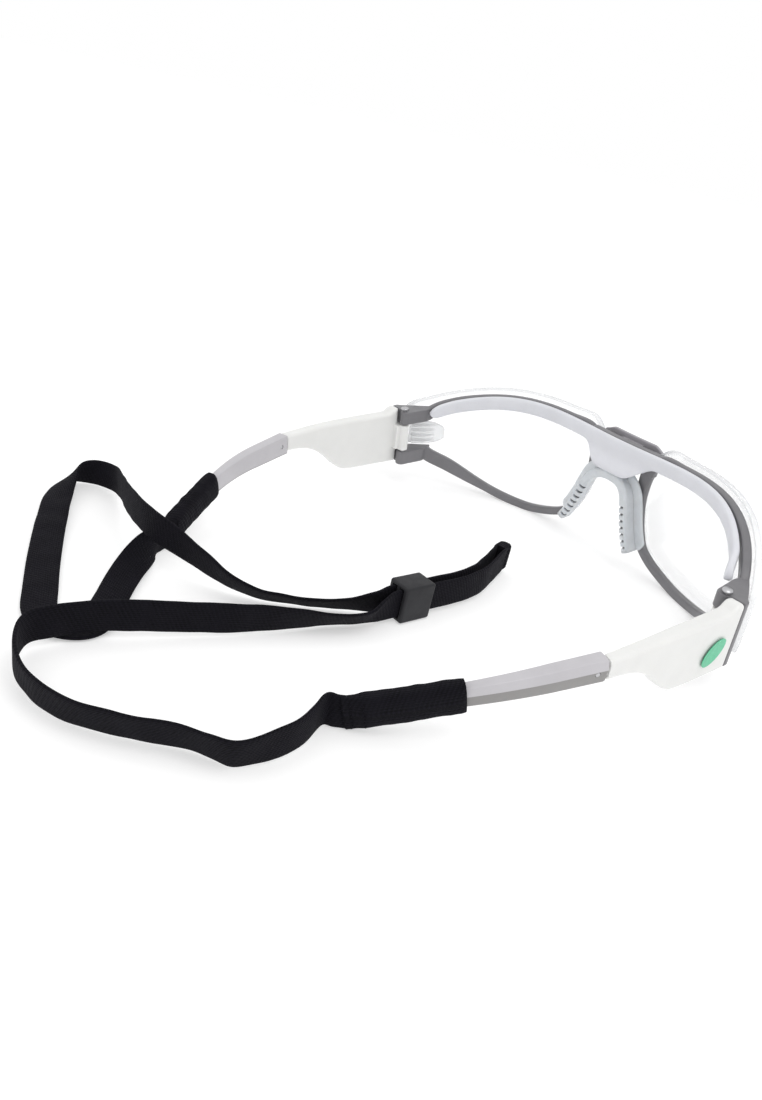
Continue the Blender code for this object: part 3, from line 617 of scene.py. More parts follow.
# the edge colour is painted shade along the lens's edge
LENS_CLEAR = clear_plastic(
    "lens_clear_polycarbonate", (0.97, 0.98, 1.0), 0.28, 0.01, 0.95, edge=(0.78, 0.79, 0.81)
)
CLIP_CLEAR = clear_plastic("clip_frosted_polycarbonate", (0.90, 0.91, 0.92), 0.72, 0.22, 0.55)
BROW_SOFT = moulded(
    "brow_soft_elastomer", (0.650, 0.655, 0.690), 0.52, grain=0.00003, mottle=0.03,
    Subsurface_Weight=0.25, Subsurface_Radius=(0.8, 0.8, 0.9), Subsurface_Scale=0.0008,
)
# the dark second colour is painted shade for the shadow inside the slits
NOSE_SOFT = ribbed_gel("nose_soft_elastomer", (0.640, 0.665, 0.690), (0.13, 0.13, 0.14))
HOUSING_WHITE = moulded(
    "housing_milky_polypropylene", (0.735, 0.735, 0.722), 0.36, grain=0.000016, mottle=0.02,
    Subsurface_Weight=0.45, Subsurface_Radius=(1.0, 1.0, 0.95), Subsurface_Scale=0.0016,
    Coat_Weight=0.2, Coat_Roughness=0.25,
)
ARM_GREY = moulded(
    "arm_silver_grey_nylon", (0.480, 0.468, 0.490), 0.38, grain=0.000018, mottle=0.04,
    # the darker under colour is painted shade for the arm's lower facets
    under=(0.235, 0.228, 0.224),
)
PIN_STEEL = steel("hinge_steel")
STRAP_BLACK = webbing("strap_black_webbing", (0.0046, 0.0042, 0.0066), 0.55, 0.02)
SLIDER_BLACK = moulded(
    "slider_charcoal_acetal", (0.020, 0.020, 0.023), 0.55, grain=0.00003, mottle=0.10,
    Specular_IOR_Level=0.25,
)
MARK_GREEN = printed("mark_green_ink", (0.105, 0.500, 0.290))


# ---------------------------------------------------------------- the front's shape

def wrap_y(x):
    return FRONT_Y + WRAP_DEPTH * (abs(x) / HALF_WIDTH) ** WRAP_POWER


def backward(x):
    """The level direction out of the inside of the front at x, towards the wearer."""
    slope = WRAP_DEPTH * WRAP_POWER / HALF_WIDTH * (abs(x) / HALF_WIDTH) ** (WRAP_POWER - 1)
    return Vector((-math.copysign(slope, x), 1.0, 0.0)).normalized()


def face_point(x, z, depth):
    """A point at (x, z) on the lens's inner face, moved by depth towards the wearer."""
    return Vector((x, wrap_y(x), z)) + backward(x) * depth


def upright_ring(x, z, depth, section):
    """A section's points, drawn upright and square to the front at (x, z)."""
    middle = face_point(x, z, depth)
    return [middle + Vector((0, 0, a)) + backward(x) * b for a, b in section]


def brow_z(x):
    """The top edge of the brow bar."""
    return 0.0486 + 1.6 * x ** 2 - 700.0 * x ** 4


def lower_z(x):
    """The top edge of the lower rim."""
    away = abs(x) - 0.040
    return 0.00995 + 0.12 * away + 16.3 * away ** 2


def rim_outline():
    """The middle line of the left rim as (x, 0, z) points, anticlockwise as the wearer sees it."""
    top = [(x, brow_z(x) - BROW_BAR_HEIGHT / 2) for x in (0.015, 0.024, 0.034, 0.044, 0.053, 0.061)]
    outer = [(0.0663, 0.0386), (0.0686, 0.0310), (0.0668, 0.0232)]
    bottom = [(x, lower_z(x) - LOWER_RIM_HEIGHT / 2) for x in (0.061, 0.053, 0.044, 0.034, 0.024)]
    nose = [(0.0170, 0.0148), (0.0140, 0.0198), (0.0118, 0.0268), (0.0106, 0.0350), (0.0112, 0.0420)]
    corners = [(x, 0.0, z) for x, z in top + outer + bottom + nose]
    return evenly(catmull_rom(corners, 20, closed=True), RIM_POINTS, closed=True)


def rim_frames():
    """For each point of the rim: where it is, and the directions out of the eye and towards the wearer."""
    flat = rim_outline()
    places = [face_point(point.x, point.z, 0.0) for point in flat]
    middle = centre_of(places)
    frames = []
    for i, place in enumerate(places):
        tangent = (places[(i + 1) % len(places)] - places[i - 1]).normalized()
        back = backward(place.x)
        outward = tangent.cross(back).normalized()
        if outward.dot(place - middle) < 0:
            outward = -outward
        frames.append((place, outward, back))
    return frames


def rim_height(place):
    """The rim is tall along the brow, low under the eye, and widens again into the end piece."""
    gusset = blended(0.0, 0.0020, place.x, 0.048, 0.063)
    gusset *= blended(1.0, 0.0, place.z, 0.022, 0.030)
    return blended(LOWER_RIM_HEIGHT, BROW_BAR_HEIGHT, place.z, 0.028, 0.042) + gusset


def rim_mesh(side):
    """The rim: a bar with round corners that follows the outline and the wrap."""
    depth = RIM_BACK - RIM_FRONT
    rings = []
    for place, outward, back in rim_frames():
        section = rounded_section(rim_height(place), depth, 0.0006)
        middle = place + back * (RIM_FRONT + depth / 2)
        rings.append([middle + outward * a + back * b for a, b in section])
    return mirrored_mesh(loft("rim", rings, closed=True), side)


def bar_across(name, half_length, steps, low_z, high_z, front, back, radius=0.0004, end_radius=0.0):
    """A bar along the front, between two heights that depend on x."""
    rings = []
    for x in spaced(-half_length, half_length, steps):
        low, high = low_z(x), high_z(x)
        section = rounded_section(high - low, back - front, radius)
        rings.append(upright_ring(x, (low + high) / 2, (front + back) / 2, section))
    if end_radius:
        rings = round_ends(rings, end_radius)
    return loft(name, rings)


def bridge_low_z(x):
    """The bridge's lower edge, arched over the nose."""
    return 0.0418 - 6.0 * x ** 2


def end_block_outline():
    """The end piece from above: it follows the wrap, and has a square back and an ear for the pin."""
    front = [face_point(x, 0.0, RIM_FRONT).xy for x in (0.0655, 0.0675, 0.0692, 0.0706, 0.0718)]
    outside = [
        (END_PLATE_OUTSIDE_X, -0.0012), (END_PLATE_OUTSIDE_X, END_BACK_Y), (0.0684, END_BACK_Y)
    ]
    ear = [
        (PIN_X + EAR_RADIUS * math.cos(angle), EAR_RADIUS * math.sin(angle))
        for angle in (math.radians(20 + 10 * step) for step in range(17))
    ]
    return front + outside + ear + [(0.0636, -0.0085)]


def pin_matrix(side, from_z, to_z):
    """The pin's axis leans outward at its top by the hinge's cant."""
    lean = Matrix.Rotation(HINGE_CANT * side, 4, "Y")
    middle = Matrix.Translation((PIN_X * side, 0.0, PIN_MIDDLE_Z))
    return middle @ lean @ Matrix.Translation((0, 0, (from_z + to_z) / 2 - PIN_MIDDLE_Z))


# ---------------------------------------------------------------- the front's pieces

def make_front():
    bridge = bar_across(
        "bridge", 0.0135, 40, bridge_low_z, lambda x: brow_z(x) - 0.0001,
        RIM_FRONT + 0.0001, RIM_BACK + 0.0002,
    )
    unions = [rim_mesh(-1.0), bridge]
    cuts = []
    for side in SIDES.values():
        block = prism("block", end_block_outline(), END_BOTTOM_Z, END_TOP_Z)
        unions.append(mirrored_mesh(block, side))
        pocket = box_between(
            "pocket", (0.050, -0.040, KNUCKLE_BOTTOM_Z), (END_PLATE_INSIDE_X, 0.010, KNUCKLE_TOP_Z)
        )
        cuts.append(mirrored_mesh(pocket, side))
        seat = pin_matrix(side, *HEAD_SEAT)
        cuts.append(cylinder_mesh("seat", PIN_HEAD_RADIUS + GAP / 2, HEAD_SEAT[1] - HEAD_SEAT[0], seat))
    shape = carved("front", rim_mesh(1.0), cuts, unions, FRONT_VOXEL, 4)
    add("front_moulding", shape, FRAME_GREY, "front", ["frame_front"], smooth_angle=0)


def cover_top_z(x):
    """The cover stands just above the brow bar in the middle, and dips below it at its ends."""
    return brow_z(x) + blended(0.0006, -0.0010, abs(x), 0.008, 0.012)


def make_bridge_cover():
    """A plate over the front of the bridge, with a post that fills the space between the two lenses."""
    cover = bar_across(
        "cover", 0.0120, 60, lambda x: 0.0415, cover_top_z, -0.0034, -0.0022, 0.00045, 0.0004
    )
    post = bar_across(
        "post", 0.0042, 12, lambda x: 0.0425, lambda x: brow_z(x) - 0.001, -0.0030, LENS_BACK
    )
    shape = joined("cover", [cover, post])
    add("bridge_plate", shape, COVER_GREY, "front", ["bridge_cover"])


def lens_outline():
    """The left lens's edge: above the brow bar, round the end piece, and past the rim and the nose."""
    over, under = 0.0018, 0.0026
    top = [(x, brow_z(x) + over) for x in (0.0150, 0.0240, 0.0340, 0.0440, 0.0530, 0.0610, 0.0665)]
    outer = [(0.0701, 0.0412), (0.0712, 0.0375), (0.0713, 0.0310), (0.0710, 0.0245), (0.0694, 0.0207)]
    bottom = [(x, lower_z(x) - under) for x in (0.0645, 0.0590, 0.0520, 0.0440, 0.0340, 0.0240)]
    nose = [(0.0162, 0.0140), (0.0132, 0.0193), (0.0110, 0.0264), (0.0098, 0.0350), (0.0100, 0.0440)]
    corners = [(x, 0.0, z) for x, z in top + outer + bottom + nose]
    return evenly(catmull_rom(corners, 16, closed=True), LENS_POINTS, closed=True)


def make_lenses():
    """Each lens is a thin curved shell with an eased edge."""
    edge = lens_outline()
    middle = centre_of(edge)
    shares = (0.12, 0.25, 0.38, 0.50, 0.62, 0.74, 0.84, 0.92, 0.955)
    front, ease, corner, border = LENS_BACK - LENS_THICKNESS, 0.0003, 0.00009, 0.0005
    rim = [(border, LENS_BACK), (ease, LENS_BACK), (corner, LENS_BACK - corner), (0.0, LENS_BACK - ease),
           (0.0, front + ease), (corner, front + corner), (ease, front), (border, front)]

    def face_ring(share, depth):
        return [face_point(*middle.lerp(point, share).xz, depth) for point in edge]

    for name, side in SIDES.items():
        bm = bmesh.new()
        rings = [face_ring(share, LENS_BACK) for share in shares]
        for inset, depth in rim:
            ring = [point + (middle - point).normalized() * inset for point in edge]
            rings.append([face_point(point.x, point.z, depth) for point in ring])
        rings += [face_ring(share, front) for share in reversed(shares)]
        loops = [[bm.verts.new(point) for point in ring] for ring in rings]
        count = len(edge)
        for one, two in zip(loops, loops[1:]):
            for k in range(count):
                bm.faces.new((one[k], one[(k + 1) % count], two[(k + 1) % count], two[k]))
        for loop, depth in ((loops[0], LENS_BACK), (loops[-1], front)):
            centre = bm.verts.new(face_point(middle.x, middle.z, depth))
            for k in range(count):
                bm.faces.new((loop[k], loop[(k + 1) % count], centre))
        mesh = mesh_of("lens", bm)
        # the lens's edge band is marked for the painted edge shade
        edge_shade_layer = mesh.attributes.new("edge", "FLOAT", "POINT")
        within = [0.0] * (len(shares) * count)
        bands = within + [1.0] * (len(rim) * count) + within
        edge_shade_layer.data.foreach_set("value", bands + [0.0] * (len(mesh.vertices) - len(bands)))
        mesh = mirrored_mesh(mesh, side)
        add("lens_shell_" + name, mesh, LENS_CLEAR, "front", ["lens_" + name])


def pad_low(x):
    """The pad's lower edge, which runs down to the nose piece in a Y."""
    return brow_z(x) - PAD_BAND - blended(PAD_STEM, 0.0, abs(x), 0.0045, 0.0155)


def pad_shift(x, z):
    """How much further back the pad stands: over the end piece, and where its stem leans to the saddle."""
    over_end = blended(0.0, 0.0012, abs(x), 0.0610, 0.0665)
    return over_end + blended(0.0, 0.0032, brow_z(x) - PAD_BAND - z, 0.0, 0.0051)


def make_brow_pad():
    """A soft crowned strip behind the brow bar, whose stem runs down onto the nose piece."""
    rings = []
    for x in spaced(-PAD_HALF_LENGTH, PAD_HALF_LENGTH, 280):
        left = (PAD_HALF_LENGTH - abs(x)) / PAD_ROUND_END
        roundness = math.sqrt(max(1.0 - max(1.0 - left, 0.0) ** 2, 0.01))
        low, high = pad_low(x), brow_z(x) + 0.0003
        middle = (low + high) / 2
        section = soft_section((high - low) * roundness, PAD_THICKNESS, 0.66, 48)
        rings.append([
            face_point(x, middle + a, RIM_BACK + PAD_MIDDLE + b + pad_shift(x, middle + a))
            for a, b in section
        ])
    pad = loft("brow_pad", rings)
    made = add("brow_cushion", pad, BROW_SOFT, "front", ["brow_pad"], smooth_angle=60)


def nose_line():
    """The saddle's middle line, from one leg's tip over the nose to the other's."""
    half = [(0.0, 0.0368), (0.0040, 0.0362), (0.0074, 0.0335), (0.0092, 0.0290), (0.0108, 0.0240),
            (0.0128, 0.0190), (0.0150, 0.0148)]
    corners = [(-x, 0.0, z) for x, z in reversed(half)] + [(x, 0.0, z) for x, z in half[1:]]
    return evenly(catmull_rom(corners, 12), NOSE_POINTS)


def slit_cut(from_tip):
    """How fully a slit cuts the leg at a distance from its tip, from 0 to 1."""
    place = (from_tip - SLIT_FROM_TIP) / SLIT_PITCH
    if not 0 <= round(place) <= SLIT_LAST:
        return 0.0
    nearest = abs(place - round(place)) * SLIT_PITCH
    return blended(1.0, 0.0, nearest, SLIT_WIDTH * 0.3, SLIT_WIDTH * 0.62)


def make_nose_piece():
    """A soft saddle over the nose. Short slits cut the nose face of the leg on each side."""
    line = nose_line()
    last = NOSE_POINTS - 1
    pitch = sum((two - one).length for one, two in zip(line, line[1:])) / last
    rings, slits, flanges = [], [], {1: [], -1: []}
    for i, point in enumerate(line):
        tangent = (line[min(i + 1, last)] - line[max(i - 1, 0)]).normalized()
        outward = tangent.cross(Vector((0, 1, 0)))
        back = backward(point.x)
        from_tip = (last / 2 - abs(i - last / 2)) * pitch
        cut = slit_cut(from_tip)
        leg = blended(0.0, 1.0, abs(point.x), 0.004, 0.011)
        depth = 0.0042 + 0.0016 * leg
        middle = face_point(point.x, point.z, NOSE_FRONT + depth / 2)
        corners = [Vector(pair) for pair in rounded_section(0.0034 - 0.0006 * leg, depth, 0.0010, 6)]
        ring, marks = [], []
        for a, b in evenly(corners, 56, closed=True):
            nose_side = blended(0.0, 1.0, -a, -0.0008, 0.0002)
            rear = blended(0.0, 1.0, b, depth * 0.20, depth * 0.46)
            marks.append(cut * nose_side * rear)
            ring.append(middle + outward * a + back * (b - SLIT_DEPTH * marks[-1]))
        rings.append(ring)
        slits.extend(marks)
        if abs(point.x) > FLANGE_FROM_X:
            tip = blended(1.0, 0.0, from_tip, 0.0, 0.003)
            width = FLANGE_WIDTH * math.sqrt(max(1.0 - tip ** 2, 0.05))
            plate = rounded_section(width, FLANGE_THICKNESS, 0.00045)
            seat = face_point(point.x, point.z, NOSE_FRONT + 0.0006) + outward * FLANGE_OUT
            flange = flanges[1 if point.x > 0 else -1]
            flange.append([seat + outward * a + back * b for a, b in plate])
    body = loft("saddle", round_ends(rings, 0.0008))
    lead = [0.0] * (END_STEPS * len(rings[0]))
    # the slit faces are marked for the painted shade inside the slits
    layer = body.attributes.new("slit", "FLOAT", "POINT")
    layer.data.foreach_set("value", lead + slits + lead)
    shells = [body] + [loft("flange", round_ends(flange, 0.0004)) for flange in flanges.values()]
    shape = joined("nose", shells)
    made = add("nose_saddle", shape, NOSE_SOFT, "front", ["nose_piece"], smooth_angle=60)


def make_lens_clips():
    """In each end piece's gap, a clear clip with four fingers that holds the lens's corner."""
    finger_reach = [(FINGER_FROM_X, 0.0020), (0.0660, 0.0032), (0.0675, 0.0040), (FINGER_TO_X, 0.0040)]
    for name, side in SIDES.items():
        rings = []
        for x in spaced(CLIP_FROM_X, CLIP_TO_X, 40):
            half = 0.0042 * math.sqrt(max(1.0 - (max(0.0668 - x, 0.0) / 0.0044) ** 2, 0.04))
            section = rounded_section(2 * half, 0.0014, 0.0004)
            rings.append(upright_ring(x, CLIP_MIDDLE_Z, 0.0011, section))
        plate = loft("clip", rings)
        fingers = []
        for finger in range(FINGERS):
            rings = []
            z = FINGER_LOW_Z + FINGER_PITCH * finger
            for x in spaced(FINGER_FROM_X, FINGER_TO_X, 20):
                reach = along(finger_reach, x)
                section = rounded_section(0.0010, max(reach - 0.0008, 0.0011), 0.0004)
                rings.append(upright_ring(x, z, (reach + 0.0012) / 2, section))
            fingers.append(loft("finger", rings))
        shape = mirrored_mesh(carved("clip", plate, (), fingers, CLIP_VOXEL, 2), side)
        add("clip_" + name, shape, CLIP_CLEAR, "front", ["lens_clip_" + name], smooth_angle=0)


def make_hinge_pins():
    """Each pin has a flat head with an eased rim, and a small chamfer at its foot."""
    radius, head, half = PIN_RADIUS, PIN_HEAD_RADIUS, (PIN_TOP_Z - PIN_BOTTOM_Z) / 2
    profile = [
        (0.0001, -half), (radius - 0.0002, -half), (radius, 0.0002 - half), (radius, half - 0.0003),
        (head - 0.0002, half - 0.0002), (head, half), (head, half + 0.0003),
        (head - 0.0003, half + 0.0006), (0.0001, half + 0.0007),
    ]
    for name, side in SIDES.items():
        pin = turned("pin", profile, pin_matrix(side, PIN_BOTTOM_Z, PIN_TOP_Z), 40)
        add("pin_" + name, pin, PIN_STEEL, "front", ["hinge_pin_" + name])


# ---------------------------------------------------------------- the temples

HOUSING_TOP = [(0.0012, 0.0408), (0.0030, 0.0408), (0.0052, 0.0396), (0.0080, 0.0395), (0.0200, 0.0401),
               (0.0350, 0.0406), (0.0500, 0.0405)]
HOUSING_BOTTOM = [(0.0012, 0.0203), (0.0100, 0.0209), (0.0180, 0.0214), (0.0250, 0.0224), (0.0290, 0.0250),
                  (0.0325, 0.0283), (0.0360, 0.0312), (0.0400, 0.0333), (0.0450, 0.0345), (0.0500, 0.0349)]
HOUSING_INSIDE = [(0.0012, 0.0682), (0.0100, 0.0682), (0.0250, 0.0679), (0.0350, 0.0676), (0.0450, 0.0669),
                  (0.0500, 0.0664)]
HOUSING_OUTSIDE = [(0.0012, 0.0730), (0.0100, 0.0728), (0.0250, 0.0722), (0.0350, 0.0716), (0.0450, 0.0706),
                   (0.0500, 0.0700)]


def housing_mesh():
    """The white housing, lofted from its front to the mouth that holds the arm."""
    rings = []
    for y in spaced(HOUSING_FRONT_Y, HOUSING_BACK_Y, 120):
        low, high = smooth_along(HOUSING_BOTTOM, y), smooth_along(HOUSING_TOP, y)
        near, far = smooth_along(HOUSING_INSIDE, y), smooth_along(HOUSING_OUTSIDE, y)
        section = rounded_section(far - near, high - low, 0.0011, 6)
        ring = [Vector(((near + far) / 2 + a, y, (low + high) / 2 + b)) for a, b in section]
        square_to_arm = blended(0.0, 1.0, y, 0.036, 0.0475)
        for point in ring:
            away = point - MOUTH
            point.y += square_to_arm * (away.x * math.tan(ARM_TURN) + away.z * math.tan(ARM_FALL))
        rings.append(ring)
    return loft("housing", rings)


def arm_headings(reach):
    """The arm's inward turn and its fall at a distance from its front: straight first, then curving."""
    turn = ARM_TURN + math.radians(13.3) * max(reach - ARM_STRAIGHT, 0.0) / 0.0208
    if reach > SLEEVE_FROM:
        turn = math.radians(29.3 + 3.5 * (reach - SLEEVE_FROM) / 0.027)
    fall = ARM_FALL + math.radians(7.0) * min(max(reach - ARM_STRAIGHT, 0.0) / 0.0208, 1.2)
    return turn, fall


def arm_direction(reach):
    turn, fall = arm_headings(reach)
    return Vector((-math.sin(turn) * math.cos(fall), math.cos(turn) * math.cos(fall), -math.sin(fall)))


def arm_axes(reach):
    """The directions along the arm, out of its side and up, at a distance from its front."""
    forward = arm_direction(reach)
    sideways = forward.cross(Vector((0, 0, 1))).normalized()
    return forward, sideways, sideways.cross(forward)


def arm_point(reach):
    """A point on the left arm's middle line."""
    place = MOUTH + arm_direction(0.0) * GAP
    step = 0.0005
    walked = 0.0
    while walked + step <= reach:
        place = place + arm_direction(walked + step / 2) * step
        walked += step
    return place + arm_direction(reach) * (reach - walked)


def arm_matrix(reach):
    """Local X out of the arm's side, Y along it and Z up."""
    forward, sideways, up = arm_axes(reach)
    matrix = Matrix((sideways, forward, up)).transposed().to_4x4()
    return Matrix.Translation(arm_point(reach)) @ matrix


def arm_rings(reaches, section_at):
    rings = []
    for reach in reaches:
        _, sideways, up = arm_axes(reach)
        rings.append([arm_point(reach) + sideways * a + up * b for a, b in section_at(reach)])
    return rings


def arm_box(name, width, start, end, height):
    """A box on the arm's axis, between two distances from the arm's front face."""
    place = arm_matrix(0.0) @ Matrix.Translation((0, (start + end) / 2, 0))
    return box_mesh(name, (width, end - start, height), place)


def arm_width(reach):
    return along([(0.0, 0.0044), (0.0142, 0.0042), (0.0350, 0.0031), (0.0580, 0.0026)], reach)


def arm_height(reach):
    return along([(0.0, 0.0064), (0.0142, 0.0061), (0.0350, 0.0052), (0.0580, 0.0042)], reach)


def arm_section(reach):
    """The arm's section: a ridge along its outside, with the sides sloping away above and below it."""
    w, h = arm_width(reach) / 2, arm_height(reach) / 2
    corners = [(w * 0.64, -h), (w, h * 0.30), (w * 0.62, h), (-w, h), (-w, -h)]
    radius = 0.0004
    points = []
    for k in range(5):
        here, before, after = (Vector(corners[(k + s) % 5]) for s in (0, -1, 1))
        one, two = (before - here).normalized(), (after - here).normalized()
        start, end = here + one * radius, here + two * radius
        for step in range(5):
            t = step / 4
            points.append(start * (1 - t) ** 2 + here * 2 * t * (1 - t) + end * t * t)
    return points


def paint_shade_under_side(mesh):
    """Marks the arm's faces below the ridge, which get a painted shade: a darker colour that stands in for
    the shade under the arm.
    """
    layer = mesh.attributes.new("under", "FLOAT", "FACE")
    layer.data.foreach_set("value", [1.0 if face.normal.z < -0.02 else 0.0 for face in mesh.polygons])


def make_temple_housings():
    """Each housing has a knuckle on the hinge pin, and a slotted tongue that carries the arm."""
    low, high = KNUCKLE_BOTTOM_Z + 0.0006, KNUCKLE_TOP_Z - 0.0006
    web_low, web_high = KNUCKLE_BOTTOM_Z + 0.0008, KNUCKLE_TOP_Z - 0.0008
    slot_from = STOP_PIN_FROM_FRONT - STOP_PIN_RADIUS - GAP
    slot_to = STOP_PIN_FROM_FRONT + ARM_TRAVEL + STOP_PIN_RADIUS + GAP
    for name, side in SIDES.items():
        above_knuckle = pin_matrix(1.0, 0.0355, 0.0425)
        relief = cylinder_mesh("relief", EAR_RADIUS + EAR_RELIEF, 0.0070, above_knuckle)
        barrel = cylinder_mesh("barrel", EAR_RADIUS, high - low, pin_matrix(1.0, low, high))
        web = box_between("web", (0.0662, 0.0, web_low), (0.0700, 0.0030, web_high))
        tongue = arm_box("tongue", TONGUE_WIDTH, -TONGUE_INSIDE, TONGUE_LENGTH, TONGUE_HEIGHT)
        slot = arm_box("slot", 0.006, slot_from, slot_to, 2 * (STOP_PIN_RADIUS + GAP))
        body = carved("housing", housing_mesh(), [relief])
        shape = carved("housing", body, [slot], [barrel, web, tongue], HOUSING_VOXEL, 4)
        add("housing_" + name, mirrored_mesh(shape, side), HOUSING_WHITE, name + "_temple",
            ["temple_housing_" + name], smooth_angle=0)


def make_temple_arms():
    """Each arm is bored for the housing's tongue, and crossed by the stop pin that rides in its slot."""
    reaches = [0.0, 0.0012] + spaced(0.0030, ARM_LENGTH, 80)
    pin_place = arm_matrix(0.0) @ Matrix.Translation((0, STOP_PIN_FROM_FRONT, 0))
    across = pin_place @ Matrix.Rotation(math.pi / 2, 4, "Y")
    radius, half, chamfer = STOP_PIN_RADIUS, STOP_PIN_HALF, 0.0001
    profile = [(0.00005, -half), (radius - chamfer, -half), (radius, chamfer - half),
               (radius, half - chamfer), (radius - chamfer, half), (0.00005, half)]
    for name, side in SIDES.items():
        arm = loft("arm", round_ends(arm_rings(reaches, arm_section), 0.0006))
        bore = arm_box("bore", TONGUE_WIDTH + 2 * GAP, -0.004, ARM_BORE_LENGTH, TONGUE_HEIGHT + 2 * GAP)
        hole = cylinder_mesh("hole", STOP_PIN_RADIUS + 0.0001, 0.010, across, 32)
        shape = carved("arm", arm, [bore, hole])
        # the lower facets get the painted shade
        paint_shade_under_side(shape)
        add("arm_" + name, mirrored_mesh(shape, side), ARM_GREY, name + "_arm",
            ["temple_arm_" + name], smooth_angle=30)
        pin = mirrored_mesh(turned("stop", profile, across, 24), side)
        add("stop_" + name, pin, PIN_STEEL, name + "_arm", ["stop_pin_" + name])


# ---------------------------------------------------------------- sewn webbing

def give_weave(mesh, rows, columns, reach_at, across_at):
    """UV in millimetres for a loft: U along it, V across it."""
    layer = mesh.uv_layers.new(name="weave")
    for loop in mesh.loops:
        row, column = divmod(min(loop.vertex_index, rows * columns - 1), columns)
        layer.data[loop.index].uv = (reach_at(row) * 1000, across_at(column) * 1000)


def stitches(start, end, normal):
    """A row of short thread stitches between two points, standing just out of the cloth."""
    shells = []
    line = end - start
    pitch = line.length / SEAM_STITCHES
    forward = line.normalized()
    side = forward.cross(normal)
    for k in range(SEAM_STITCHES):
        one = start + forward * (pitch * (k + 0.14))
        two = start + forward * (pitch * (k + 0.86))
        rings = []
        for t in (0.0, 0.15, 0.4, 0.6, 0.85, 1.0):
            rise = math.sin(math.pi * t) * 0.00010
            size = THREAD_RADIUS * (0.35 + 0.65 * math.sin(math.pi * min(max(t, 0.06), 0.94)) ** 0.5)
            middle = one.lerp(two, t) + normal * rise
            rings.append([
                middle + side * size * math.cos(a) + normal * size * math.sin(a)
                for a in (math.pi * 2 * n / 8 for n in range(8))
            ])
        shells.append(loft("stitch", rings))
    return shells


def sleeve_section(reach):
    """The sleeve is an oval tube that is pressed flat where it is sewn at its tail."""
    flat = blended(0.0, 1.0, reach, SLEEVE_TO - 0.0065, SLEEVE_TO - 0.0010)
    lip = blended(0.84, 1.0, reach, SLEEVE_FROM - 0.0004, SLEEVE_FROM + 0.0014)
    thick = (SLEEVE_THICKNESS - 0.0024 * flat) * lip
    tall = (SLEEVE_HEIGHT - 0.0004 + 0.0004 * flat) * (0.97 + 0.03 * lip)
    return soft_section(thick, tall, 0.70 - 0.12 * flat, 48)


def match_ring(ring, other):
    """The ring with as many points as the other, each nearest in direction to the other's point."""
    centre, far = centre_of(ring), centre_of(other)
    made = []
    for point in other:
        way = (point - far).normalized()
        made.append(max(ring, key=lambda p: (p - centre).normalized().dot(way)).copy())
    return made


def round_tail(rings, radius, steps=END_STEPS):
    """Draws in only the last end of a tube's rings."""
    return rings[:1] + round_ends(rings, radius, steps)[steps + 1:]


def make_strap_sleeves():
    """A sewn pocket of doubled webbing over each arm's tip, with soft wrinkles across it."""
    span = SLEEVE_TO - SLEEVE_FROM
    reaches = spaced(SLEEVE_FROM, SLEEVE_TO, SLEEVE_STEPS)
    for name, side in SIDES.items():
        rings = arm_rings(reaches, sleeve_section)
        for reach, ring in zip(reaches, rings):
            centre = centre_of(ring)
            calm = blended(0.35, 1.0, reach, SLEEVE_FROM, SLEEVE_FROM + 0.004)
            calm *= blended(1.0, 0.4, reach, SLEEVE_TO - 0.006, SLEEVE_TO)
            for k, point in enumerate(ring):
                angle = 2 * math.pi * k / len(ring)
                where = Vector((reach * 420, math.cos(angle) * 0.7 + side * 3, math.sin(angle) * 0.9))
                ring[k] = point + (point - centre).normalized() * (noise.noise(where) * WRINKLE * calm)
        inner = []
        for into in (0.006, 0.0008, 0.0001):
            reach = SLEEVE_FROM + into
            section = rounded_section(arm_width(reach) + 2 * GAP, arm_height(reach) + 2 * GAP, 0.0009, 11)
            inner.append(match_ring(arm_rings([reach], lambda _: section)[0], rings[0]))
        every = inner + rings
        tube = loft("sleeve", round_tail(every, 0.0006))
        give_weave(tube, len(every) + END_STEPS, len(rings[0]),
                   lambda row: row * span / SLEEVE_STEPS, lambda column: column * 0.00045)
        shells = [tube]
        for distance in SLEEVE_SEAMS:
            reach = SLEEVE_TO - distance
            _, sideways, up = arm_axes(reach)
            half = max(a for a, _ in sleeve_section(reach)) + 0.00002
            for face in (1.0, -1.0):
                at = arm_point(reach) + sideways * half * face
                shells += stitches(at - up * SEAM_HALF, at + up * SEAM_HALF, sideways * face)
        shape = mirrored_mesh(joined("sleeve", shells), side)
        add("sleeve_" + name, shape, STRAP_BLACK, name + "_arm", ["strap_sleeve_" + name],
            smooth_angle=60)


def sleeve_tail(side):
    """Where the strap leaves a sleeve: inside it, at its tail, and straight behind it, on the table."""
    end = arm_point(SLEEVE_TO)
    way = arm_direction(SLEEVE_TO)
    places = []
    for distance in (-0.0030, GAP + 0.0011, GAP + 0.0041):
        point = end + way * distance
        place = AT_REST @ Vector((point.x * side, point.y, point.z))
        places.append((place.x, place.y + REST_CENTRE_Y, STRAP_WIDTH / 2 + 0.0002, 0.0))
    return places


EDGE_Z = SLIDER_CENTRE.z

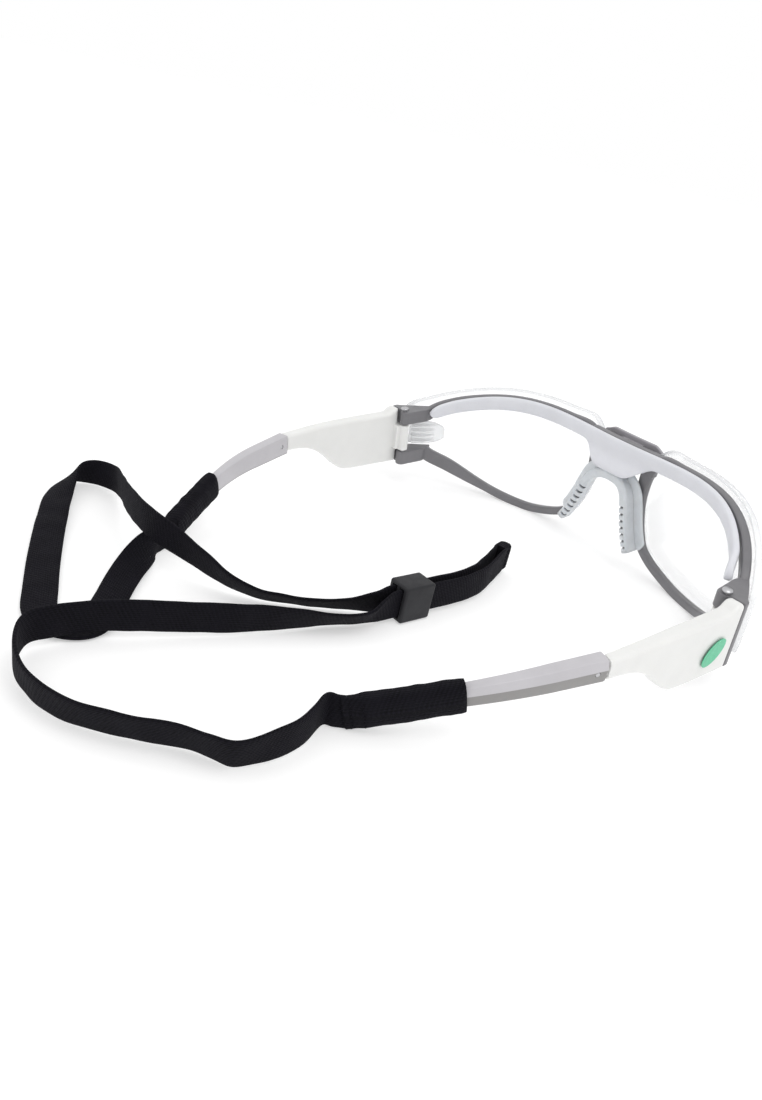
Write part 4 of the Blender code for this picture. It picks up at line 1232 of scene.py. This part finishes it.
LEFT_ROUTE = [
    (0.0375, 0.1165, 0.0042, 38), (0.0310, 0.1245, 0.0022, 78), (0.0215, 0.1330, 0.0010, 90),
    (0.0140, 0.1392, 0.0010, 90), (0.0112, 0.1445, 0.0010, 90), (0.0145, 0.1495, 0.0010, 90),
    (0.0215, 0.1505, 0.0010, 90), (0.0320, 0.1465, 0.0010, 90), (0.0460, 0.1405, 0.0011, 90),
    (0.0640, 0.1320, 0.0016, 85), (0.0800, 0.1235, 0.0024, 73), (0.0875, 0.1165, 0.0042, 38),
    (0.0865, 0.1100, 0.0047, 5), (0.0790, 0.1070, 0.0056, 0), (0.0690, 0.1095, 0.0078, 5),
    (0.0580, 0.1130, 0.0100, 3), (0.0450, 0.1160, 0.0122, 0), (0.0340, 0.1160, 0.0126, 0),
    (0.0255, 0.1120, 0.0104, 10), (0.0180, 0.1080, 0.0078, 25), (0.0120, 0.1040, 0.0054, 38),
    (0.0070, 0.0990, 0.0041, 46), (0.0025, 0.0930, 0.0038, 48), (-0.0015, 0.0865, 0.0038, 48),
    (-0.0055, 0.0790, 0.0043, 42), (-0.0083, 0.0730, 0.0053, 20), (-0.00895, 0.0690, EDGE_Z, 0),
    (-0.00895, 0.0620, EDGE_Z, 0), (-0.00895, 0.0530, EDGE_Z, 0), (-0.00895, 0.0440, EDGE_Z, 0),
    (-0.0073, 0.0350, EDGE_Z, 0), (-0.0033, 0.0255, EDGE_Z, 0), (0.0012, 0.0165, EDGE_Z, 0),
]

RIGHT_ROUTE = [
    (-0.0448, 0.1205, 0.0048, 0), (-0.0460, 0.1292, 0.0047, -8), (-0.0452, 0.1368, 0.0046, -15),
    (-0.0408, 0.1402, 0.0045, -22), (-0.0358, 0.1440, 0.0045, -22), (-0.0300, 0.1508, 0.0045, -22),
    (-0.0228, 0.1580, 0.0045, -20), (-0.0145, 0.1628, 0.0046, -15), (-0.0050, 0.1642, 0.0048, -8),
    (0.0032, 0.1626, 0.0054, 0), (0.0086, 0.1580, 0.0060, 0), (0.0088, 0.1515, 0.0062, 0),
    (0.0078, 0.1430, 0.0062, 0), (0.0050, 0.1340, 0.0061, 0), (0.0010, 0.1225, 0.0055, 0),
    (-0.0028, 0.1110, 0.0050, 5), (-0.0066, 0.1000, 0.0048, 18), (-0.0102, 0.0890, 0.0043, 40),
    (-0.0128, 0.0800, 0.0043, 40), (-0.0126, 0.0740, 0.0052, 16), (-0.01185, 0.0690, EDGE_Z, 0),
    (-0.01185, 0.0620, EDGE_Z, 0), (-0.01185, 0.0530, EDGE_Z, 0), (-0.01185, 0.0440, EDGE_Z, 0),
    (-0.0102, 0.0340, EDGE_Z, 0), (-0.0062, 0.0245, EDGE_Z, 0), (-0.0018, 0.0155, EDGE_Z, 0),
]


def strap_line(side, route, count):
    """The strap's middle line on the table, the turn at each point, and its length."""
    smooth = catmull_rom([[*point] for point in sleeve_tail(side) + route], 12)
    line = evenly([point[:3] for point in smooth], count)
    reach = [0.0]
    for one, two in zip(smooth, smooth[1:]):
        reach.append(reach[-1] + (Vector(two[:3]) - Vector(one[:3])).length)
    turns = [(distance, point[3]) for distance, point in zip(reach, smooth)]
    return line, [along(turns, reach[-1] * i / (count - 1)) for i in range(count)], reach[-1]


def make_strap():
    """Both strands: flat webbing with round selvages and a slightly uneven hand."""
    strands = {}
    for name, route in (("left", LEFT_ROUTE), ("right", RIGHT_ROUTE)):
        side = SIDES[name]
        count = STRAP_POINTS[name]
        line, turns, length = strap_line(side, route, count)
        section = soft_section(STRAP_THICKNESS, STRAP_WIDTH, 0.45, 28)
        rings = []
        for i, place in enumerate(line):
            before, after = line[max(i - 1, 0)], line[min(i + 1, count - 1)]
            forward = (after - before).normalized()
            sideways = forward.cross(Vector((0, 0, 1))).normalized()
            up = sideways.cross(forward)
            turn = Matrix.Rotation(math.radians(turns[i]), 3, forward)
            free = blended(1.0, 0.2, abs(place.y - SLIDER_CENTRE.y), 0.016, 0.007)
            ring = []
            for a, b in section:
                where = Vector((i * length / count * 160, b * 160 + side * 5, 0.0))
                ripple = noise.noise(where) * RIPPLE * free
                ring.append(place + turn @ (sideways * (a + ripple) + up * b))
            rings.append(ring)
        mesh = loft("strap", rings)
        give_weave(mesh, count, len(section),
                   lambda row: row * length / count, lambda column: section[column][1])
        made = add("strand_" + name, mesh, STRAP_BLACK, None, ["strap_" + name],
                   ON_TABLE, smooth_angle=60)
        path = [ON_TABLE @ point for point in line[::4] + [line[-1]]]
        strands[name] = (made, path, length)
    return strands


def make_strap_end():
    """The sewn fold that joins the strap's two layers at the end of the tail."""
    one, two = Vector(LEFT_ROUTE[-1][:3]), Vector(RIGHT_ROUTE[-1][:3])
    across = (one - two).normalized()
    along_tail = Vector((across.y, -across.x, 0.0))
    middle = (one + two) / 2 + along_tail * (GAP + 0.0008)
    matrix = Matrix((along_tail, across, Vector((0, 0, 1)))).transposed().to_4x4()
    thickness = (one - two).length + STRAP_THICKNESS
    rings = []
    for t in spaced(0.0, 1.0, END_FOLD_RINGS - 1):
        x = -END_FOLD_LENGTH / 2 + END_FOLD_LENGTH * t
        round_over = math.sqrt(max(1 - max((t - 0.80) / 0.20, 0.0) ** 2, 0.35))
        tall = STRAP_WIDTH * (0.97 + 0.03 * round_over)
        section = soft_section(thickness * round_over, tall, 0.25, 28)
        rings.append([Vector((x, a, b)) for a, b in section])
    fold = loft("fold", rings)
    give_weave(fold, END_FOLD_RINGS, len(section), lambda row: row * 0.0002, lambda column: column * 0.0006)
    shells = [fold]
    rise = Vector((0, 0, SEAM_HALF))
    for face in (1.0, -1.0):
        for x in END_FOLD_SEAMS:
            at = Vector((x, face * thickness / 2, 0.0))
            shells += stitches(at - rise, at + rise, Vector((0, face, 0)))
    shape = joined("fold", shells)
    shape.transform(Matrix.Translation(middle) @ matrix)
    return add("end_fold", shape, STRAP_BLACK, "front", ["strap_end_fold"],
               ON_TABLE, smooth_angle=60)


def make_strap_slider():
    """A charcoal block with two slots for the strands."""
    body = box_mesh("slider", SLIDER_SIZE, Matrix.Translation(SLIDER_CENTRE), 0.0007, 5)
    cuts = []
    for side in SIDES.values():
        centre = SLIDER_CENTRE + Vector((SLIDER_SLOT_OFFSET * side, 0, 0))
        size = (SLIDER_SLOT_WIDTH, 0.020, STRAP_WIDTH + 2 * GAP)
        cuts.append(box_mesh("slot", size, Matrix.Translation(centre), 0.0003, 2))
    shape = carved("slider", body, cuts)
    return add("slider_block", shape, SLIDER_BLACK, "slider", ["strap_slider"],
               ON_TABLE, smooth_angle=30)


def make_side_mark():
    """A plain printed oval on the outside of the right temple."""
    profile = [(0.001, -0.5), (0.5, -0.5), (0.5, 0.2), (0.49, 0.45), (0.47, 0.5), (0.001, 0.5)]
    turn = Matrix.Rotation(MARK_LEAN, 4, "Y") @ Matrix.Rotation(MARK_TURN, 4, "Z")
    place = Matrix.Translation(MARK_CENTRE) @ turn @ Matrix.Diagonal((*MARK_SIZE, 1.0))
    disc = turned("mark", profile, place, 64)
    add("green_mark", disc, MARK_GREEN, "right_temple", ["side_mark_right"])


def declare_strap(strands):
    """Bakes each strand's object transform into its mesh."""
    for name, (made, path, length) in strands.items():
        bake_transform(made)


# ---------------------------------------------------------------- table, light and camera

def make_table():
    bm = bmesh.new()
    bmesh.ops.create_grid(bm, x_segments=1, y_segments=1, size=12.0)
    mesh = mesh_of("table", bm)
    nodes = Nodes("table_white")
    paper = nodes.ranged(nodes.noise(40.0, 3.0), 0.0, 1.0)
    nodes.set(Base_Color=nodes.mixed(paper, (0.640, 0.640, 0.640), (0.655, 0.655, 0.655)))
    nodes.set(Roughness=0.9)
    nodes.set(Specular_IOR_Level=0.1, Emission_Color=(1.0, 1.0, 1.0, 1.0), Emission_Strength=0.42)
    mesh.materials.append(nodes.material)
    table = bpy.data.objects.new("table", mesh)
    table.location.z = -0.00005
    bpy.context.scene.collection.objects.link(table)


def make_light(name, place, size, power):
    light = bpy.data.lights.new(name, "AREA")
    light.shape = "DISK"
    light.size = size
    light.energy = power
    made = bpy.data.objects.new(name, light)
    made.location = place
    made.rotation_euler = (-Vector(place)).to_track_quat("-Z", "Y").to_euler()
    bpy.context.scene.collection.objects.link(made)


def make_lights():
    world = bpy.data.worlds.new("white_room")
    world.use_nodes = True
    world.node_tree.nodes["Background"].inputs["Color"].default_value = (1.0, 1.0, 1.0, 1.0)
    world.node_tree.nodes["Background"].inputs["Strength"].default_value = 1.0
    bpy.context.scene.world = world
    make_light("key", (-0.30, 0.05, 0.75), 0.45, 1.2)
    make_light("fill", (0.55, 0.45, 0.55), 0.60, 0.3)
    scene = bpy.context.scene
    scene.view_settings.view_transform = "Standard"
    scene.view_settings.look = "None"


def make_camera():
    azimuth, elevation = CAMERA_AZIMUTH, CAMERA_ELEVATION
    level = Vector((math.sin(azimuth), -math.cos(azimuth), 0.0))
    back = level * math.cos(elevation) + Vector((0, 0, math.sin(elevation)))
    right = Vector((0, 0, 1)).cross(back).normalized()
    matrix = Matrix((right, back.cross(right), back)).transposed().to_4x4()
    matrix.translation = CAMERA_TARGET + back * CAMERA_DISTANCE
    lens = bpy.data.cameras.new("photo")
    lens.lens = CAMERA_LENS
    lens.sensor_width = 36.0
    lens.clip_start = 0.01
    lens.clip_end = 50.0
    camera = bpy.data.objects.new("photo", lens)
    camera.matrix_world = AT_REST @ matrix @ Matrix.Rotation(CAMERA_ROLL, 4, "Z")
    bpy.context.scene.collection.objects.link(camera)
    bpy.context.scene.camera = camera


make_front()
make_bridge_cover()
make_lenses()
make_brow_pad()
make_nose_piece()
make_lens_clips()
make_hinge_pins()
make_temple_housings()
make_temple_arms()
make_strap_sleeves()
strands = make_strap()
end_fold = make_strap_end()
slider = make_strap_slider()
make_side_mark()
declare_strap(strands)
make_table()
make_lights()
make_camera()
